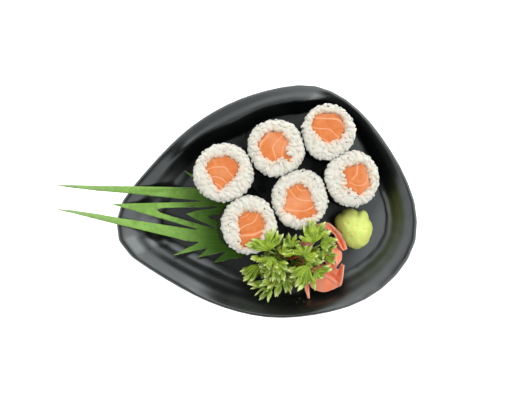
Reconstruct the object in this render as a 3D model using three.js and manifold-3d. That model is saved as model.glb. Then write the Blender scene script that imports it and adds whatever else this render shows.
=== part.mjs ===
// Six salmon rolls on a black teardrop plate with ripples, set out with a fold-cut leaf,
// a bunch of parsley, slices of pickled ginger and a ball of wasabi.
// Millimetres, +Z up. Places are worked out from the plate's middle, and the whole is then
// moved so that the origin lies under its middle, at the height of the table.

import * as THREE from 'three';
import { mergeVertices } from 'three/addons/utils/BufferGeometryUtils.js';
import { LoftGeometry } from 'three/addons/geometries/LoftGeometry.js';
import Module from 'manifold-3d';

const wasm = await Module();
wasm.setup();

// Driving dimensions of the plate
const FLOOR_Z = 5;
const RIM_Z = 20;
const PLATE_THICKNESS = 3;
const UNDER_FLOOR_Z = 1.8;
const FOOT_INNER = 0.62;
const FOOT_OUTER = 0.74;
const RIPPLE_HEIGHT = 0.9;
const RIPPLES_ACROSS_WALL = 2.6;

// Driving dimensions of the rolls
const ROLL_HEIGHT = 28;
const NORI_THICKNESS = 0.5;
const NORI_BELOW_TOP = 3.2;
const SALMON_BELOW_TOP = 0.7;
const GRAIN_LENGTH = 6;
const GRAIN_WIDTH = 2.7;
const GRAINS_ON_ROLL = 13;

// Driving dimensions of what lies beside them
const LEAF_THICKNESS = 0.5;
const LEAF_TIP_RISE = 16;
const GINGER_THICKNESS = 1.4;
const WASABI_HEIGHT = 19;
const PARSLEY_THICKNESS = 0.8;

// Clear space between pieces that touch, and over facets that only come near a curve
const GAP = 0.3;
const FACET_GAP = 0.75;

// Plate outline, seen from above
const RIM_POINTS = [
  [97, -4], [89, 18.7], [77.7, 38.1], [64.4, 55.4], [47.5, 69.6], [26.7, 76.5], [-14.3, 68.6],
  [-48.6, 49.8], [-79.7, 18.9], [-96.2, -3.8], [-98, -17.8], [-94.3, -30.4], [-71, -48],
  [-32, -68.4], [5, -76.4], [44.4, -71.8], [65.1, -63.8], [83.7, -49.2], [96.3, -28.2],
];

// How wide the sloping wall is, at angles in degrees round the plate
const WALL_WIDTHS = [
  [0, 17], [48, 10], [90, 19], [150, 23], [185, 30], [225, 27], [270, 25], [315, 20],
];

// How strong the ripples are at those angles
const RIPPLE_SHARES = [
  [0, 0.3], [48, 0.2], [90, 0.6], [150, 1], [185, 0.9], [225, 1], [270, 0.8], [315, 0.3],
];

// The rolls: middle of the top, size across, how far the foot stands off from the top,
// and the salmon's outline measured from the middle
const ROLLS = [
  {
    top: [-28.3, 18.4], size: 39.1, foot: [-1.5, 0.5], onLeaf: true,
    salmon: [[-9, 8.6], [-2.6, 10.1], [2.1, 11.1], [9.8, 6.4], [9.8, 0.6], [5.6, -4.8], [-2.6, -11.9],
      [-5, -9.2], [-8.2, -3], [-11.5, 2.5]],
  },
  {
    top: [6.3, 34.1], size: 37.9, foot: [-4.2, 1.6], onLeaf: false,
    salmon: [[-6.8, 9.6], [-2.2, 11.1], [3.5, 10.3], [8, 3.2], [5.8, -0.6], [9.6, -4.9], [8.5, -9.1],
      [3.2, -5.8], [-2.4, -8.9], [-9.7, -4.7], [-12.5, 3.2]],
  },
  {
    top: [39.6, 44.6], size: 36.3, foot: [0.6, -1.2], onLeaf: false,
    salmon: [[-7.2, 12.2], [4.4, 12.1], [8.8, 9.2], [11.1, 1.4], [6.8, -5.2], [3, -5], [0.1, -7.6],
      [-6.6, -3.2], [-11.2, 3], [-9.8, 8.2]],
  },
  {
    top: [21.2, 1.3], size: 38.1, foot: [0, 0], onLeaf: false,
    salmon: [[-8.4, 6], [-3.5, 9], [1, 10.1], [5.6, 6], [9.5, -4.5], [11.7, -8.9], [6.8, -12],
      [-1.5, -13.2], [-5.4, -9.4], [-11.2, -7.7], [-9.4, -2.5]],
  },
  {
    top: [-11.4, -15.2], size: 37.5, foot: [-3.6, -1.4], onLeaf: true,
    salmon: [[-7.4, 4.6], [-3.5, 8.7], [6.9, 7.7], [10.2, 0.6], [7.4, -9], [2.2, -14], [-5.4, -14.4],
      [-6.2, -7]],
  },
  {
    top: [54.9, 14.7], size: 36.3, foot: [-0.6, -1.2], onLeaf: false,
    salmon: [[-4.3, 7.2], [0.2, 8], [7.2, 9.8], [10.1, 5.4], [12.3, -4.3], [5.4, -11.4], [0.9, -7.9],
      [-5.2, -5.2], [-3.5, -0.7], [-5.9, 2.3]],
  },
];

// The leaf, folded along its length and cut: half of its outline, measured along and off the fold
const LEAF_ROOT = [-102.3, -2];
const LEAF_TURN = -7.7 * Math.PI / 180;
const LEAF_BEND_X = -50;
const LEFT_RIM_X = -96.2;
const LEAF_TIP_DROOP = 4;
const LEAF_WAVE = 0.5;
const LEAF_CELL = [8, 11];
const LEAF_OVER_WALL = 1.7;
const LEAF_HALF_OUTLINE = [
  [0, 0], [28, 4.6], [56, 9], [57.5, 9.4], [56, 9.9], [10, 8.5], [-10, 7.6], [-36, 7.7],
  [-10, 10.7], [9, 12.9], [52, 18], [60, 17.8], [44, 28.4], [66, 21], [60, 28.2], [79, 21.2],
  [71, 30.1], [90, 24], [98, 17],
];
const LEAF_SLOTS = [
  [[29, 0], [32, 1.6], [52, 5], [68, 7.4], [69, 6.6], [56, 3.2], [48.6, 0]],
  [[63, 0], [66, 1.1], [78, 3.4], [79, 0]],
];

// Ginger slices, bottom one first: outline, highest point, droop to the edge and the turned-up side
const GINGER = [
  {
    outline: [[19.1, -33.6], [21.7, -27.4], [26.9, -25.3], [30.9, -29], [32.2, -36.2], [29.6, -44.1],
      [27.8, -52], [28.3, -58.6], [27.2, -64], [25, -59.2], [23, -52], [20.4, -42.8]],
    peak: 13, droop: 5, curl: 0, curlAngle: 0,
  },
  {
    outline: [[27, -49.3], [28.9, -44.1], [34.9, -41.5], [41.4, -42], [47.4, -43], [50.8, -46.7],
      [50.1, -54], [45.4, -59.2], [38.8, -60.9], [32.2, -59.2], [28, -54.6]],
    peak: 15, droop: 3, curl: 6, curlAngle: 0,
  },
  {
    outline: [[38.1, -34.8], [42, -29.6], [46.2, -32.4], [49.2, -37.4], [50, -41.4], [46.8, -45.5],
      [42.2, -45], [38.4, -41]],
    peak: 19, droop: 4, curl: 1.5, curlAngle: 200,
  },
  {
    outline: [[31.8, -18.4], [35.9, -15.6], [40.6, -16.4], [43.6, -20.6], [46.4, -25.4], [51, -30.6],
      [50.4, -33.2], [45.1, -33], [40.6, -29], [34.7, -23.9]],
    peak: 21, droop: 4, curl: 2, curlAngle: 45,
  },
];

// The wasabi's outline, with the dent where it was pressed together
const WASABI_MIDDLE = [57.6, -18.3];
const WASABI_OUTLINE = [
  [11.6, 0.3], [10.6, -7.4], [5, -12], [-1, -12.6], [-5.6, -9.4], [-8.2, -5.4], [-10.6, -1.4],
  [-11.8, 4], [-9, 10], [-4.4, 12.8], [0.6, 12.7], [2.6, 10.9], [5.2, 12.4], [9.6, 8.4],
];

// Parsley sprays: where the spray's foot is, which way it points, its length, how far it fans
// out in degrees, and how high its foot stands
const SPRAYS = [
  { foot: [3, -36], toward: 158, length: 18, fan: 70, lift: 33 },
  { foot: [3, -35], toward: 105, length: 16, fan: 75, lift: 34 },
  { foot: [15.3, -31], toward: 97, length: 11, fan: 45, lift: 32 },
  { foot: [22, -33.8], toward: 172, length: 13, fan: 60, lift: 33 },
  { foot: [31, -28], toward: 128, length: 16, fan: 80, lift: 36 },
  { foot: [32, -28], toward: 55, length: 14, fan: 80, lift: 35 },
  { foot: [30, -36], toward: 8, length: 14, fan: 60, lift: 32 },
  { foot: [29, -45], toward: 0, length: 12.5, fan: 55, lift: 29 },
  { foot: [20.9, -44], toward: 285, length: 15, fan: 60, lift: 26 },
  { foot: [14, -46], toward: 262, length: 14, fan: 60, lift: 27 },
  { foot: [5, -50], toward: 262, length: 13, fan: 80, lift: 22 },
  { foot: [2, -47], toward: 215, length: 15, fan: 55, lift: 22 },
  { foot: [-5.5, -41.5], toward: 226, length: 13.5, fan: 80, lift: 20 },
  { foot: [13, -41], toward: 212, length: 11, fan: 70, lift: 37 },
  { foot: [21, -39], toward: 330, length: 10, fan: 70, lift: 38 },
];
const BUNCH_MIDDLE = [4, -47];
const BUNCH_HALF_SIZE = [13, 9];
const BUNCH_TOP = 21;
const BUNCH_SIDES = 10;

const RADIANS = Math.PI / 180;
const FULL_TURN = 2 * Math.PI;

// Numbers that come out the same on each run
function seededRandom(seed) {
  let state = seed;
  return () => {
    state = (state * 1664525 + 1013904223) % 4294967296;
    return state / 4294967296;
  };
}

// A gentle unevenness between -1 and 1 that repeats after a full turn
function uneven(angle, seed) {
  return 0.5 * Math.sin(2 * angle + seed * 1.7)
    + 0.3 * Math.sin(3 * angle + seed * 2.9)
    + 0.2 * Math.sin(5 * angle + seed * 4.3);
}

// The lower of two values, with the corner between them rounded
function softMin(a, b, rounding) {
  const near = Math.max(rounding - Math.abs(a - b), 0) / rounding;
  return Math.min(a, b) - near * near * rounding / 4;
}

// A value for each angle round the plate, easing from one named angle to the next
function eased(table, angle) {
  const degrees = ((angle / RADIANS) % 360 + 360) % 360;
  let after = table.findIndex(([at]) => at > degrees);
  if (after < 0) after = table.length;
  const [from, low] = table[after - 1];
  const [to, high] = after < table.length ? table[after] : [table[0][0] + 360, table[0][1]];
  const share = (1 - Math.cos(Math.PI * (degrees - from) / (to - from))) / 2;
  return low + (high - low) * share;
}

// A closed smooth outline through a few points, read as a radius for each angle
function polarOutline(points) {
  const knots = points.map(([x, y]) => new THREE.Vector3(x, y, 0));
  const curve = new THREE.CatmullRomCurve3(knots, true, 'centripetal');
  const samples = curve.getPoints(360).slice(1)
    .map((p) => ({ angle: Math.atan2(p.y, p.x), radius: Math.hypot(p.x, p.y) }))
    .sort((a, b) => a.angle - b.angle);
  return (angle) => {
    const turned = Math.atan2(Math.sin(angle), Math.cos(angle));
    let after = samples.findIndex((s) => s.angle > turned);
    if (after < 0) after = 0;
    const high = samples[after];
    const low = samples[(after + samples.length - 1) % samples.length];
    const span = (high.angle - low.angle + FULL_TURN) % FULL_TURN;
    const share = span > 0 ? ((turned - low.angle + FULL_TURN) % FULL_TURN) / span : 0;
    return low.radius + (high.radius - low.radius) * share;
  };
}

// A ring of angles all the way round
function turns(count) {
  return Array.from({ length: count }, (_, i) => i * FULL_TURN / count);
}

// A vertex on a ray from a middle point
function onRay([x, y], angle, radius, z) {
  return new THREE.Vector3(x + radius * Math.cos(angle), y + radius * Math.sin(angle), z);
}

// A closed geometry as a solid that can be joined and cut
function toSolid(geometry) {
  const bare = new THREE.BufferGeometry();
  bare.setAttribute('position', geometry.getAttribute('position'));
  bare.setIndex(geometry.index);
  const merged = mergeVertices(bare, 1e-4);
  return new wasm.Manifold(new wasm.Mesh({
    numProp: 3,
    vertProperties: new Float32Array(merged.attributes.position.array),
    triVerts: new Uint32Array(merged.index.array),
  }));
}

// A joined or cut solid as a geometry again
function toGeometry(solid) {
  const mesh = solid.getMesh();
  const geometry = new THREE.BufferGeometry();
  geometry.setAttribute('position', new THREE.BufferAttribute(new Float32Array(mesh.vertProperties), 3));
  geometry.setIndex(new THREE.BufferAttribute(new Uint32Array(mesh.triVerts), 1));
  geometry.computeVertexNormals();
  return geometry;
}

// A thin solid: the same triangles on both faces, and a wall round every edge
function sheetGeometry(points, triangles, thickness) {
  const normals = points.map(() => new THREE.Vector3());
  for (const [a, b, c] of triangles) {
    const across = points[b].clone().sub(points[a]);
    const normal = across.cross(points[c].clone().sub(points[a]));
    for (const corner of [a, b, c]) normals[corner].add(normal);
  }
  const count = points.length;
  const upper = points.map((p, i) => p.clone().addScaledVector(normals[i].normalize(), thickness));
  const edges = new Set(triangles.flatMap(([a, b, c]) => [`${a},${b}`, `${b},${c}`, `${c},${a}`]));
  const index = [];
  for (const [a, b, c] of triangles) {
    index.push(a + count, b + count, c + count, a, c, b);
    for (const [from, to] of [[a, b], [b, c], [c, a]]) {
      if (edges.has(`${to},${from}`)) continue;
      index.push(from, to, to + count, from, to + count, from + count);
    }
  }
  const geometry = new THREE.BufferGeometry().setFromPoints([...points, ...upper]);
  geometry.setIndex(index);
  geometry.computeVertexNormals();
  return geometry;
}

// Points and triangles of a round patch: a middle point and rings out to the edge
function roundPatch(middle, outline, rings, around, heightAt) {
  const points = [new THREE.Vector3(middle[0], middle[1], heightAt(middle[0], middle[1], 0, 0))];
  for (let ring = 1; ring <= rings; ring++) {
    for (const angle of turns(around)) {
      const p = onRay(middle, angle, outline(angle) * ring / rings, 0);
      p.z = heightAt(p.x, p.y, ring / rings, angle);
      points.push(p);
    }
  }
  const triangles = [];
  for (let k = 0; k < around; k++) {
    const next = (k + 1) % around;
    triangles.push([0, 1 + k, 1 + next]);
    for (let ring = 1; ring < rings; ring++) {
      const inner = 1 + (ring - 1) * around;
      const outer = inner + around;
      triangles.push([inner + k, outer + k, outer + next], [inner + k, outer + next, inner + next]);
    }
  }
  return { points, triangles };
}

// Plate
const rimRadius = polarOutline(RIM_POINTS);
const ORIGIN = [0, 0];

function floorRadius(angle) {
  return rimRadius(angle) - eased(WALL_WIDTHS, angle);
}

// Height of the wall's upper side, from 0 at the floor's edge to 1 at the rim
function wallHeight(angle, share) {
  const rise = 0.35 * share + 0.65 * share * share * (3 - 2 * share);
  const fade = Math.sin(Math.PI * Math.min(share, 1)) ** 0.5;
  const ripple = Math.sin(FULL_TURN * RIPPLES_ACROSS_WALL * share + 0.6 * Math.sin(angle));
  return FLOOR_Z + (RIM_Z - FLOOR_Z) * rise + RIPPLE_HEIGHT * eased(RIPPLE_SHARES, angle) * fade * ripple;
}

function plateTop(x, y) {
  const angle = Math.atan2(y, x);
  const floor = floorRadius(angle);
  const share = (Math.hypot(x, y) - floor) / (rimRadius(angle) - floor);
  return share <= 0 ? FLOOR_Z : wallHeight(angle, Math.min(share, 1));
}

function makePlate() {
  const around = turns(48);
  const wallRings = 11;
  const lip = PLATE_THICKNESS / 2;
  const ring = (radiusAt, heightAt) => around.map((a) => onRay(ORIGIN, a, radiusAt(a), heightAt(a)));
  const wallRadius = (a, share) => floorRadius(a) + (rimRadius(a) - lip - floorRadius(a)) * share;
  const sections = [];
  for (const share of [0, 0.34, 0.68, 1]) {
    const underside = UNDER_FLOOR_Z + (RIM_Z - PLATE_THICKNESS - UNDER_FLOOR_Z) * share ** 1.5;
    sections.push(ring((a) => wallRadius(a, share) + lip * share, () => underside));
  }
  const foot = [
    ring((a) => floorRadius(a) * FOOT_INNER * 0.5, () => UNDER_FLOOR_Z - 0.3),
    ring((a) => floorRadius(a) * FOOT_INNER, () => UNDER_FLOOR_Z),
    ring((a) => floorRadius(a) * FOOT_INNER + 1, () => 0),
    ring((a) => floorRadius(a) * FOOT_OUTER, () => 0),
    ring((a) => floorRadius(a) * FOOT_OUTER + 1, () => UNDER_FLOOR_Z),
  ];
  sections.unshift(...foot);
  sections.push(ring((a) => rimRadius(a), () => RIM_Z - lip));
  sections.push(ring((a) => rimRadius(a) - 0.45 * lip, () => RIM_Z - 0.25 * lip));
  for (let k = wallRings; k >= 0; k--) {
    const share = k / wallRings;
    sections.push(ring((a) => wallRadius(a, share), (a) => wallHeight(a, share)));
  }
  sections.push(ring((a) => floorRadius(a) * 0.5, () => FLOOR_Z + 0.02));
  return new LoftGeometry(sections, { capStart: true, capEnd: true });
}

// Rolls
function baseOf(roll) {
  return FLOOR_Z + GAP + (roll.onLeaf ? LEAF_THICKNESS + GAP : 0);
}

// Middle of a roll, 0 at its foot and 1 at its top
function rollCentre(roll, share) {
  return [roll.top[0] + roll.foot[0] * (1 - share), roll.top[1] + roll.foot[1] * (1 - share)];
}

// Radius of a roll at its foot or top: round, but pressed flat where it meets the others
function pressedRadius(roll, angle, share) {
  const centre = rollCentre(roll, share);
  const half = roll.size / 2;
  let radius = half * (1 + 0.022 * uneven(angle, ROLLS.indexOf(roll) + 1));
  for (const other of ROLLS) {
    if (other === roll) continue;
    const middle = rollCentre(other, share);
    const across = [middle[0] - centre[0], middle[1] - centre[1]];
    const apart = Math.hypot(...across);
    const mine = (apart * apart + half * half - other.size * other.size / 4) / (2 * apart) - GAP;
    const facing = Math.cos(angle - Math.atan2(across[1], across[0]));
    if (facing > 0.3) radius = softMin(radius, mine / facing, 1.2);
  }
  while (share === 0 && onSlope(onRay(centre, angle, radius + 0.4, 0))) radius -= 0.2;
  return radius;
}

// Whether the plate has begun to rise under a point
function onSlope(p) {
  return plateTop(p.x, p.y) > FLOOR_Z + 0.05;
}

// A point on a roll's side: straight from foot to top, an amount inside its outer face
function rollPoint(roll, angle, z, inward) {
  const share = (z - baseOf(roll)) / ROLL_HEIGHT;
  const foot = onRay(rollCentre(roll, 0), angle, pressedRadius(roll, angle, 0) - inward, z);
  const top = onRay(rollCentre(roll, 1), angle, pressedRadius(roll, angle, 1) - inward, z);
  return foot.lerp(top, share);
}

const ROLL_SIDES = 24;

function makeNori(roll, seed) {
  const low = baseOf(roll);
  const sections = turns(ROLL_SIDES).map((angle) => {
    const edge = low + ROLL_HEIGHT - NORI_BELOW_TOP + 0.35 * uneven(angle * 2, seed);
    return [
      rollPoint(roll, angle, low, NORI_THICKNESS), rollPoint(roll, angle, edge, NORI_THICKNESS),
      rollPoint(roll, angle, edge, 0), rollPoint(roll, angle, low, 0),
    ];
  });
  sections.push(sections[0]);
  return new LoftGeometry(sections, { closed: true });
}

// Salmon outline at a height, grown outward by an amount
function salmonRing(roll, z, grow) {
  const [x, y] = rollCentre(roll, (z - baseOf(roll)) / ROLL_HEIGHT);
  return roll.salmon.map(([dx, dy]) => {
    const scale = 1 + grow / Math.hypot(dx, dy);
    return new THREE.Vector3(x + dx * scale, y + dy * scale, z);
  }).reverse();
}

function makeSalmon(roll) {
  const low = baseOf(roll);
  const high = low + ROLL_HEIGHT - SALMON_BELOW_TOP;
  const rings = [
    salmonRing(roll, low, -0.4),
    salmonRing(roll, low + 0.6, 0),
    salmonRing(roll, high - 0.6, 0),
    salmonRing(roll, high, -0.7),
  ];
  return new LoftGeometry(rings, { capStart: true, capEnd: true });
}

// Where a grain is tested, as shares of its length and width
const GRAIN_REACH = [[0, 0], [0.5, 0], [-0.5, 0], [0.25, 0.5], [-0.25, 0.5], [0.25, -0.5], [-0.25, -0.5]];

function makeGrain(place, azimuth, tilt, length, width) {
  const ends = [[-0.5, 0.42], [-0.05, 1], [0.5, 0.42]];
  const sections = ends.map(([along, full]) => turns(5).map((a) => new THREE.Vector3(
    along * length, full * width / 2 * Math.cos(a), full * width / 2 * 0.85 * Math.sin(a))));
  const geometry = new LoftGeometry(sections, { capStart: true, capEnd: true });
  geometry.rotateY(tilt);
  geometry.rotateZ(azimuth);
  geometry.translate(place.x, place.y, place.z);
  return geometry;
}

// Whether a grain's ends and sides keep off the salmon and stay on the roll
function grainFits(roll, place, azimuth, taken) {
  const top = baseOf(roll) + ROLL_HEIGHT;
  const fish = salmonRing(roll, top, 0.3);
  const [cx, cy] = rollCentre(roll, 1);
  const along = [Math.cos(azimuth), Math.sin(azimuth)];
  for (const [u, v] of GRAIN_REACH) {
    const x = place.x + u * GRAIN_LENGTH * along[0] - v * GRAIN_WIDTH * along[1];
    const y = place.y + u * GRAIN_LENGTH * along[1] + v * GRAIN_WIDTH * along[0];
    const reach = Math.hypot(x - cx, y - cy);
    if (reach > pressedRadius(roll, Math.atan2(y - cy, x - cx), 1) - 0.4) return false;
    if (insidePolygon(fish, x, y)) return false;
  }
  return taken.every((other) => Math.hypot(other.x - place.x, other.y - place.y) > 1.2 * GRAIN_WIDTH);
}

function insidePolygon(ring, x, y) {
  let inside = false;
  ring.forEach((a, i) => {
    const b = ring[(i + 1) % ring.length];
    const crosses = (a.y > y) !== (b.y > y);
    if (crosses && x < (b.x - a.x) * (y - a.y) / (b.y - a.y) + a.x) inside = !inside;
  });
  return inside;
}

// The rice round the salmon: a plain core that swells over the nori's edge, with grains on top
function makeRice(roll, seed) {
  const random = seededRandom(seed * 7919);
  const low = baseOf(roll);
  const top = low + ROLL_HEIGHT;
  const inside = NORI_THICKNESS + GAP + 0.05;
  const levels = [
    [low, inside + 0.8], [low + 1, inside], [top - 2.75, inside], [top - 1.5, 0.1], [top - 0.3, 1.3],
  ];
  const sections = levels.map(([z, inward]) => (
    turns(ROLL_SIDES).map((angle) => rollPoint(roll, angle, z, inward))));
  const core = toSolid(new LoftGeometry(sections, { capStart: true, capEnd: true }));
  const channelRings = [low - 1, top + 5].map((z) => salmonRing(roll, z, 0.45));
  const channel = toSolid(new LoftGeometry(channelRings, { capStart: true, capEnd: true }));
  let rice = core.subtract(channel);
  const taken = [];
  for (let attempt = 0; attempt < 900 && taken.length < GRAINS_ON_ROLL; attempt++) {
    const angle = random() * FULL_TURN;
    const reach = Math.sqrt(random()) * roll.size / 2;
    const place = onRay(rollCentre(roll, 1), angle, reach, top - 0.35 + 0.4 * random());
    const azimuth = random() * Math.PI;
    const tilt = (random() - 0.5) * 0.3;
    if (!grainFits(roll, place, azimuth, taken)) continue;
    taken.push(place);
    rice = rice.add(toSolid(makeGrain(place, azimuth, tilt, GRAIN_LENGTH, GRAIN_WIDTH)));
  }
  return toGeometry(rice);
}

// Leaf
function leafPoint([along, off]) {
  const x = LEAF_ROOT[0] + along * Math.cos(LEAF_TURN) - off * Math.sin(LEAF_TURN);
  const y = LEAF_ROOT[1] + along * Math.sin(LEAF_TURN) + off * Math.cos(LEAF_TURN);
  return new THREE.Vector2(x, y);
}

// The leaf lies flat under the rolls, and its blades rise over the rim and droop beyond it
function leafHeight(x, y) {
  const flat = FLOOR_Z + GAP;
  const past = Math.max(0, LEAF_BEND_X - x);
  const toRim = past / (LEAF_BEND_X - LEFT_RIM_X);
  const beyond = Math.max(0, toRim - 1);
  const blade = flat + LEAF_TIP_RISE * toRim ** 1.05 - LEAF_TIP_DROOP * beyond * beyond;
  const wave = LEAF_WAVE * Math.min(1, past / 20) * (1 + Math.sin(0.16 * x + 0.5 * y));
  const slope = plateTop(x, y) - FLOOR_Z;
  return Math.max(blade + wave, flat + slope + (LEAF_OVER_WALL - GAP) * Math.min(1, slope / 2));
}

function mirrored(half) {
  const other = half.filter(([, off]) => off !== 0).map(([along, off]) => [along, -off]).reverse();
  return [...half, ...other];
}

// A thin waving sheet in small cells, cut to the leaf's outline
function makeLeaf() {
  const outline = new THREE.Shape(mirrored(LEAF_HALF_OUTLINE).reverse().map(leafPoint));
  outline.holes = LEAF_SLOTS.map((slot) => new THREE.Path(mirrored(slot).map(leafPoint)));
  const cutter = toSolid(new THREE.ExtrudeGeometry(outline, { depth: 60, bevelEnabled: false }));
  const [columns, rows] = [18, 7];
  const [firstX, firstY] = [LEAF_BEND_X - 12 * LEAF_CELL[0], -48];
  const points = [];
  const triangles = [];
  for (let row = 0; row <= rows; row++) {
    for (let column = 0; column <= columns; column++) {
      const x = firstX + column * LEAF_CELL[0];
      const y = firstY + row * LEAF_CELL[1];
      points.push(new THREE.Vector3(x, y, leafHeight(x, y)));
      if (row === rows || column === columns) continue;
      const corner = row * (columns + 1) + column;
      const above = corner + columns + 1;
      triangles.push([corner, corner + 1, above + 1], [corner, above + 1, above]);
    }
  }
  return toGeometry(toSolid(sheetGeometry(points, triangles, LEAF_THICKNESS)).intersect(cutter));
}

// Ginger
const gingerSlices = GINGER.map((slice) => {
  const mean = (axis) => slice.outline.reduce((sum, p) => sum + p[axis], 0) / slice.outline.length;
  const middle = [mean(0), mean(1)];
  const outline = polarOutline(slice.outline.map(([x, y]) => [x - middle[0], y - middle[1]]));
  return { ...slice, middle, edge: outline };
});

// How far out on a slice a point lies: 0 at its middle, 1 at its edge
function shareOf(slice, x, y) {
  const dx = x - slice.middle[0];
  const dy = y - slice.middle[1];
  return Math.hypot(dx, dy) / slice.edge(Math.atan2(dy, dx));
}

function sliceHeight(index, x, y) {
  const slice = gingerSlices[index];
  const share = shareOf(slice, x, y);
  const angle = Math.atan2(y - slice.middle[1], x - slice.middle[0]);
  const side = Math.max(0, Math.cos(angle - slice.curlAngle * RADIANS));
  const ruffle = 0.7 * share * Math.sin(4 * angle + index * 1.9);
  const own = slice.peak - slice.droop * share * share + slice.curl * side * side * share ** 4 + ruffle;
  return Math.max(own, groundUnder(index, x, y));
}

// The highest thing under a slice: the plate, or a slice that lies below it
function groundUnder(index, x, y) {
  let ground = plateTop(x, y) + FACET_GAP;
  for (let below = 0; below < index; below++) {
    if (shareOf(gingerSlices[below], x, y) > 1.15) continue;
    ground = Math.max(ground, sliceHeight(below, x, y) + GINGER_THICKNESS + FACET_GAP + 0.3);
  }
  return ground;
}

function makeGinger(index) {
  const slice = gingerSlices[index];
  const patch = roundPatch(slice.middle, slice.edge, 3, 16, (x, y) => sliceHeight(index, x, y));
  return sheetGeometry(patch.points, patch.triangles, GINGER_THICKNESS);
}

// Wasabi: an uneven ball, pressed flat where it stands
function makeWasabi() {
  const outline = polarOutline(WASABI_OUTLINE);
  const low = FLOOR_Z + GAP;
  const levels = [[0, 0.5], [0.12, 0.8], [0.35, 0.98], [0.6, 0.96], [0.82, 0.74], [0.95, 0.42], [1, 0.12]];
  const sections = levels.map(([share, full], level) => turns(18).map((a) => (
    onRay(WASABI_MIDDLE, a, outline(a) * full * (1 + 0.02 * uneven(a, level)), low + WASABI_HEIGHT * share))));
  return new LoftGeometry(sections, { capStart: true, capEnd: true });
}

// Parsley
// Height that parsley has to keep above, over the plate, the rolls and the ginger
function clearHeight(x, y) {
  let height = plateTop(x, y) + 2;
  for (const roll of ROLLS) {
    for (const share of [0, 1]) {
      const [cx, cy] = rollCentre(roll, share);
      if (Math.hypot(x - cx, y - cy) > roll.size / 2 + 3) continue;
      height = Math.max(height, baseOf(roll) + ROLL_HEIGHT + 2);
    }
  }
  gingerSlices.forEach((slice, index) => {
    if (shareOf(slice, x, y) < 1.25) {
      height = Math.max(height, sliceHeight(index, x, y) + GINGER_THICKNESS + 1.2);
    }
  });
  return height;
}

// One spray: a fan of three toothed lobes whose edge ruffles up and down
function makeSpray(spray, seed) {
  const lobes = 3;
  const raysPerLobe = 3;
  const rays = lobes * raysPerLobe;
  const points = [new THREE.Vector3(spray.foot[0], spray.foot[1], spray.lift)];
  for (let k = 0; k <= rays; k++) {
    const angle = (spray.toward + spray.fan * (k / rays - 0.5)) * RADIANS;
    const inLobe = Math.sin(Math.PI * (k / raysPerLobe));
    const tooth = k % 2 ? 1 : 0.82;
    const reach = spray.length * (0.62 + 0.38 * Math.abs(inLobe)) * tooth * (1 + 0.06 * uneven(angle, seed));
    for (const share of [0.5, 1]) {
      const p = onRay(spray.foot, angle, reach * share, 0);
      const ruffle = (k % 2 ? 1 : -1) * 0.9 * share;
      const own = spray.lift + 2.5 * share - 5.5 * share * share + ruffle;
      p.z = Math.max(own, clearHeight(p.x, p.y) + 0.4 * share * (k % 2));
      points.push(p);
    }
  }
  const triangles = [];
  for (let k = 0; k < rays; k++) {
    const near = 1 + 2 * k;
    triangles.push([0, near, near + 2], [near, near + 1, near + 3], [near, near + 3, near + 2]);
  }
  return sheetGeometry(points, triangles, PARSLEY_THICKNESS);
}

// A stem from inside the bunch's core up to a spray's foot
function makeStem(spray) {
  const [x, y] = spray.foot;
  const foot = new THREE.Vector3(x, y, spray.lift + PARSLEY_THICKNESS + 0.4);
  const away = new THREE.Vector2(x - BUNCH_MIDDLE[0], y - BUNCH_MIDDLE[1]).clampLength(0, 6);
  const root = new THREE.Vector3(BUNCH_MIDDLE[0] + away.x, BUNCH_MIDDLE[1] + away.y, BUNCH_TOP - 6);
  return rod([root, foot], [1.4, 0.9]);
}

// A tapered rod with three sides through a few points
function rod(path, radii) {
  const frames = path.map((p, i) => {
    const ahead = path[Math.min(i + 1, path.length - 1)].clone().sub(path[Math.max(i - 1, 0)]).normalize();
    const side = new THREE.Vector3(0, 0, 1).cross(ahead);
    if (side.length() < 0.1) side.set(1, 0, 0);
    side.normalize();
    return { p, side, up: ahead.clone().cross(side) };
  });
  const sections = frames.map(({ p, side, up }, i) => turns(3).map((a) => p.clone()
    .addScaledVector(side, radii[i] * Math.cos(a))
    .addScaledVector(up, radii[i] * Math.sin(a))));
  return new LoftGeometry(sections, { capStart: true, capEnd: true });
}

// The bunch: a low core where the stems crowd together, with every spray grown on to it
function makeParsley() {
  const [halfX, halfY] = BUNCH_HALF_SIZE;
  const oval = (a) => halfX * halfY / Math.hypot(halfY * Math.cos(a), halfX * Math.sin(a));
  const patch = roundPatch(BUNCH_MIDDLE, oval, 2, BUNCH_SIDES, (x, y) => plateTop(x, y) + FACET_GAP);
  const count = patch.points.length;
  const above = patch.points.map((p) => {
    const share = Math.hypot((p.x - BUNCH_MIDDLE[0]) / halfX, (p.y - BUNCH_MIDDLE[1]) / halfY);
    return new THREE.Vector3(p.x, p.y, p.z + 1 + (BUNCH_TOP - p.z) * (1 - share ** 2.5));
  });
  const index = patch.triangles.flatMap(([a, b, c]) => [a + count, b + count, c + count, a, c, b]);
  for (let k = 0; k < BUNCH_SIDES; k++) {
    const from = count - BUNCH_SIDES + k;
    const to = count - BUNCH_SIDES + (k + 1) % BUNCH_SIDES;
    index.push(from, to, to + count, from, to + count, from + count);
  }
  const core = new THREE.BufferGeometry().setFromPoints([...patch.points, ...above]);
  core.setIndex(index);
  let bunch = toSolid(core);
  SPRAYS.forEach((spray, i) => {
    bunch = bunch.add(toSolid(makeSpray(spray, i + 1))).add(toSolid(makeStem(spray)));
  });
  const pieces = bunch.decompose().sort((a, b) => b.volume() - a.volume());
  return toGeometry(pieces[0]);
}

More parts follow.
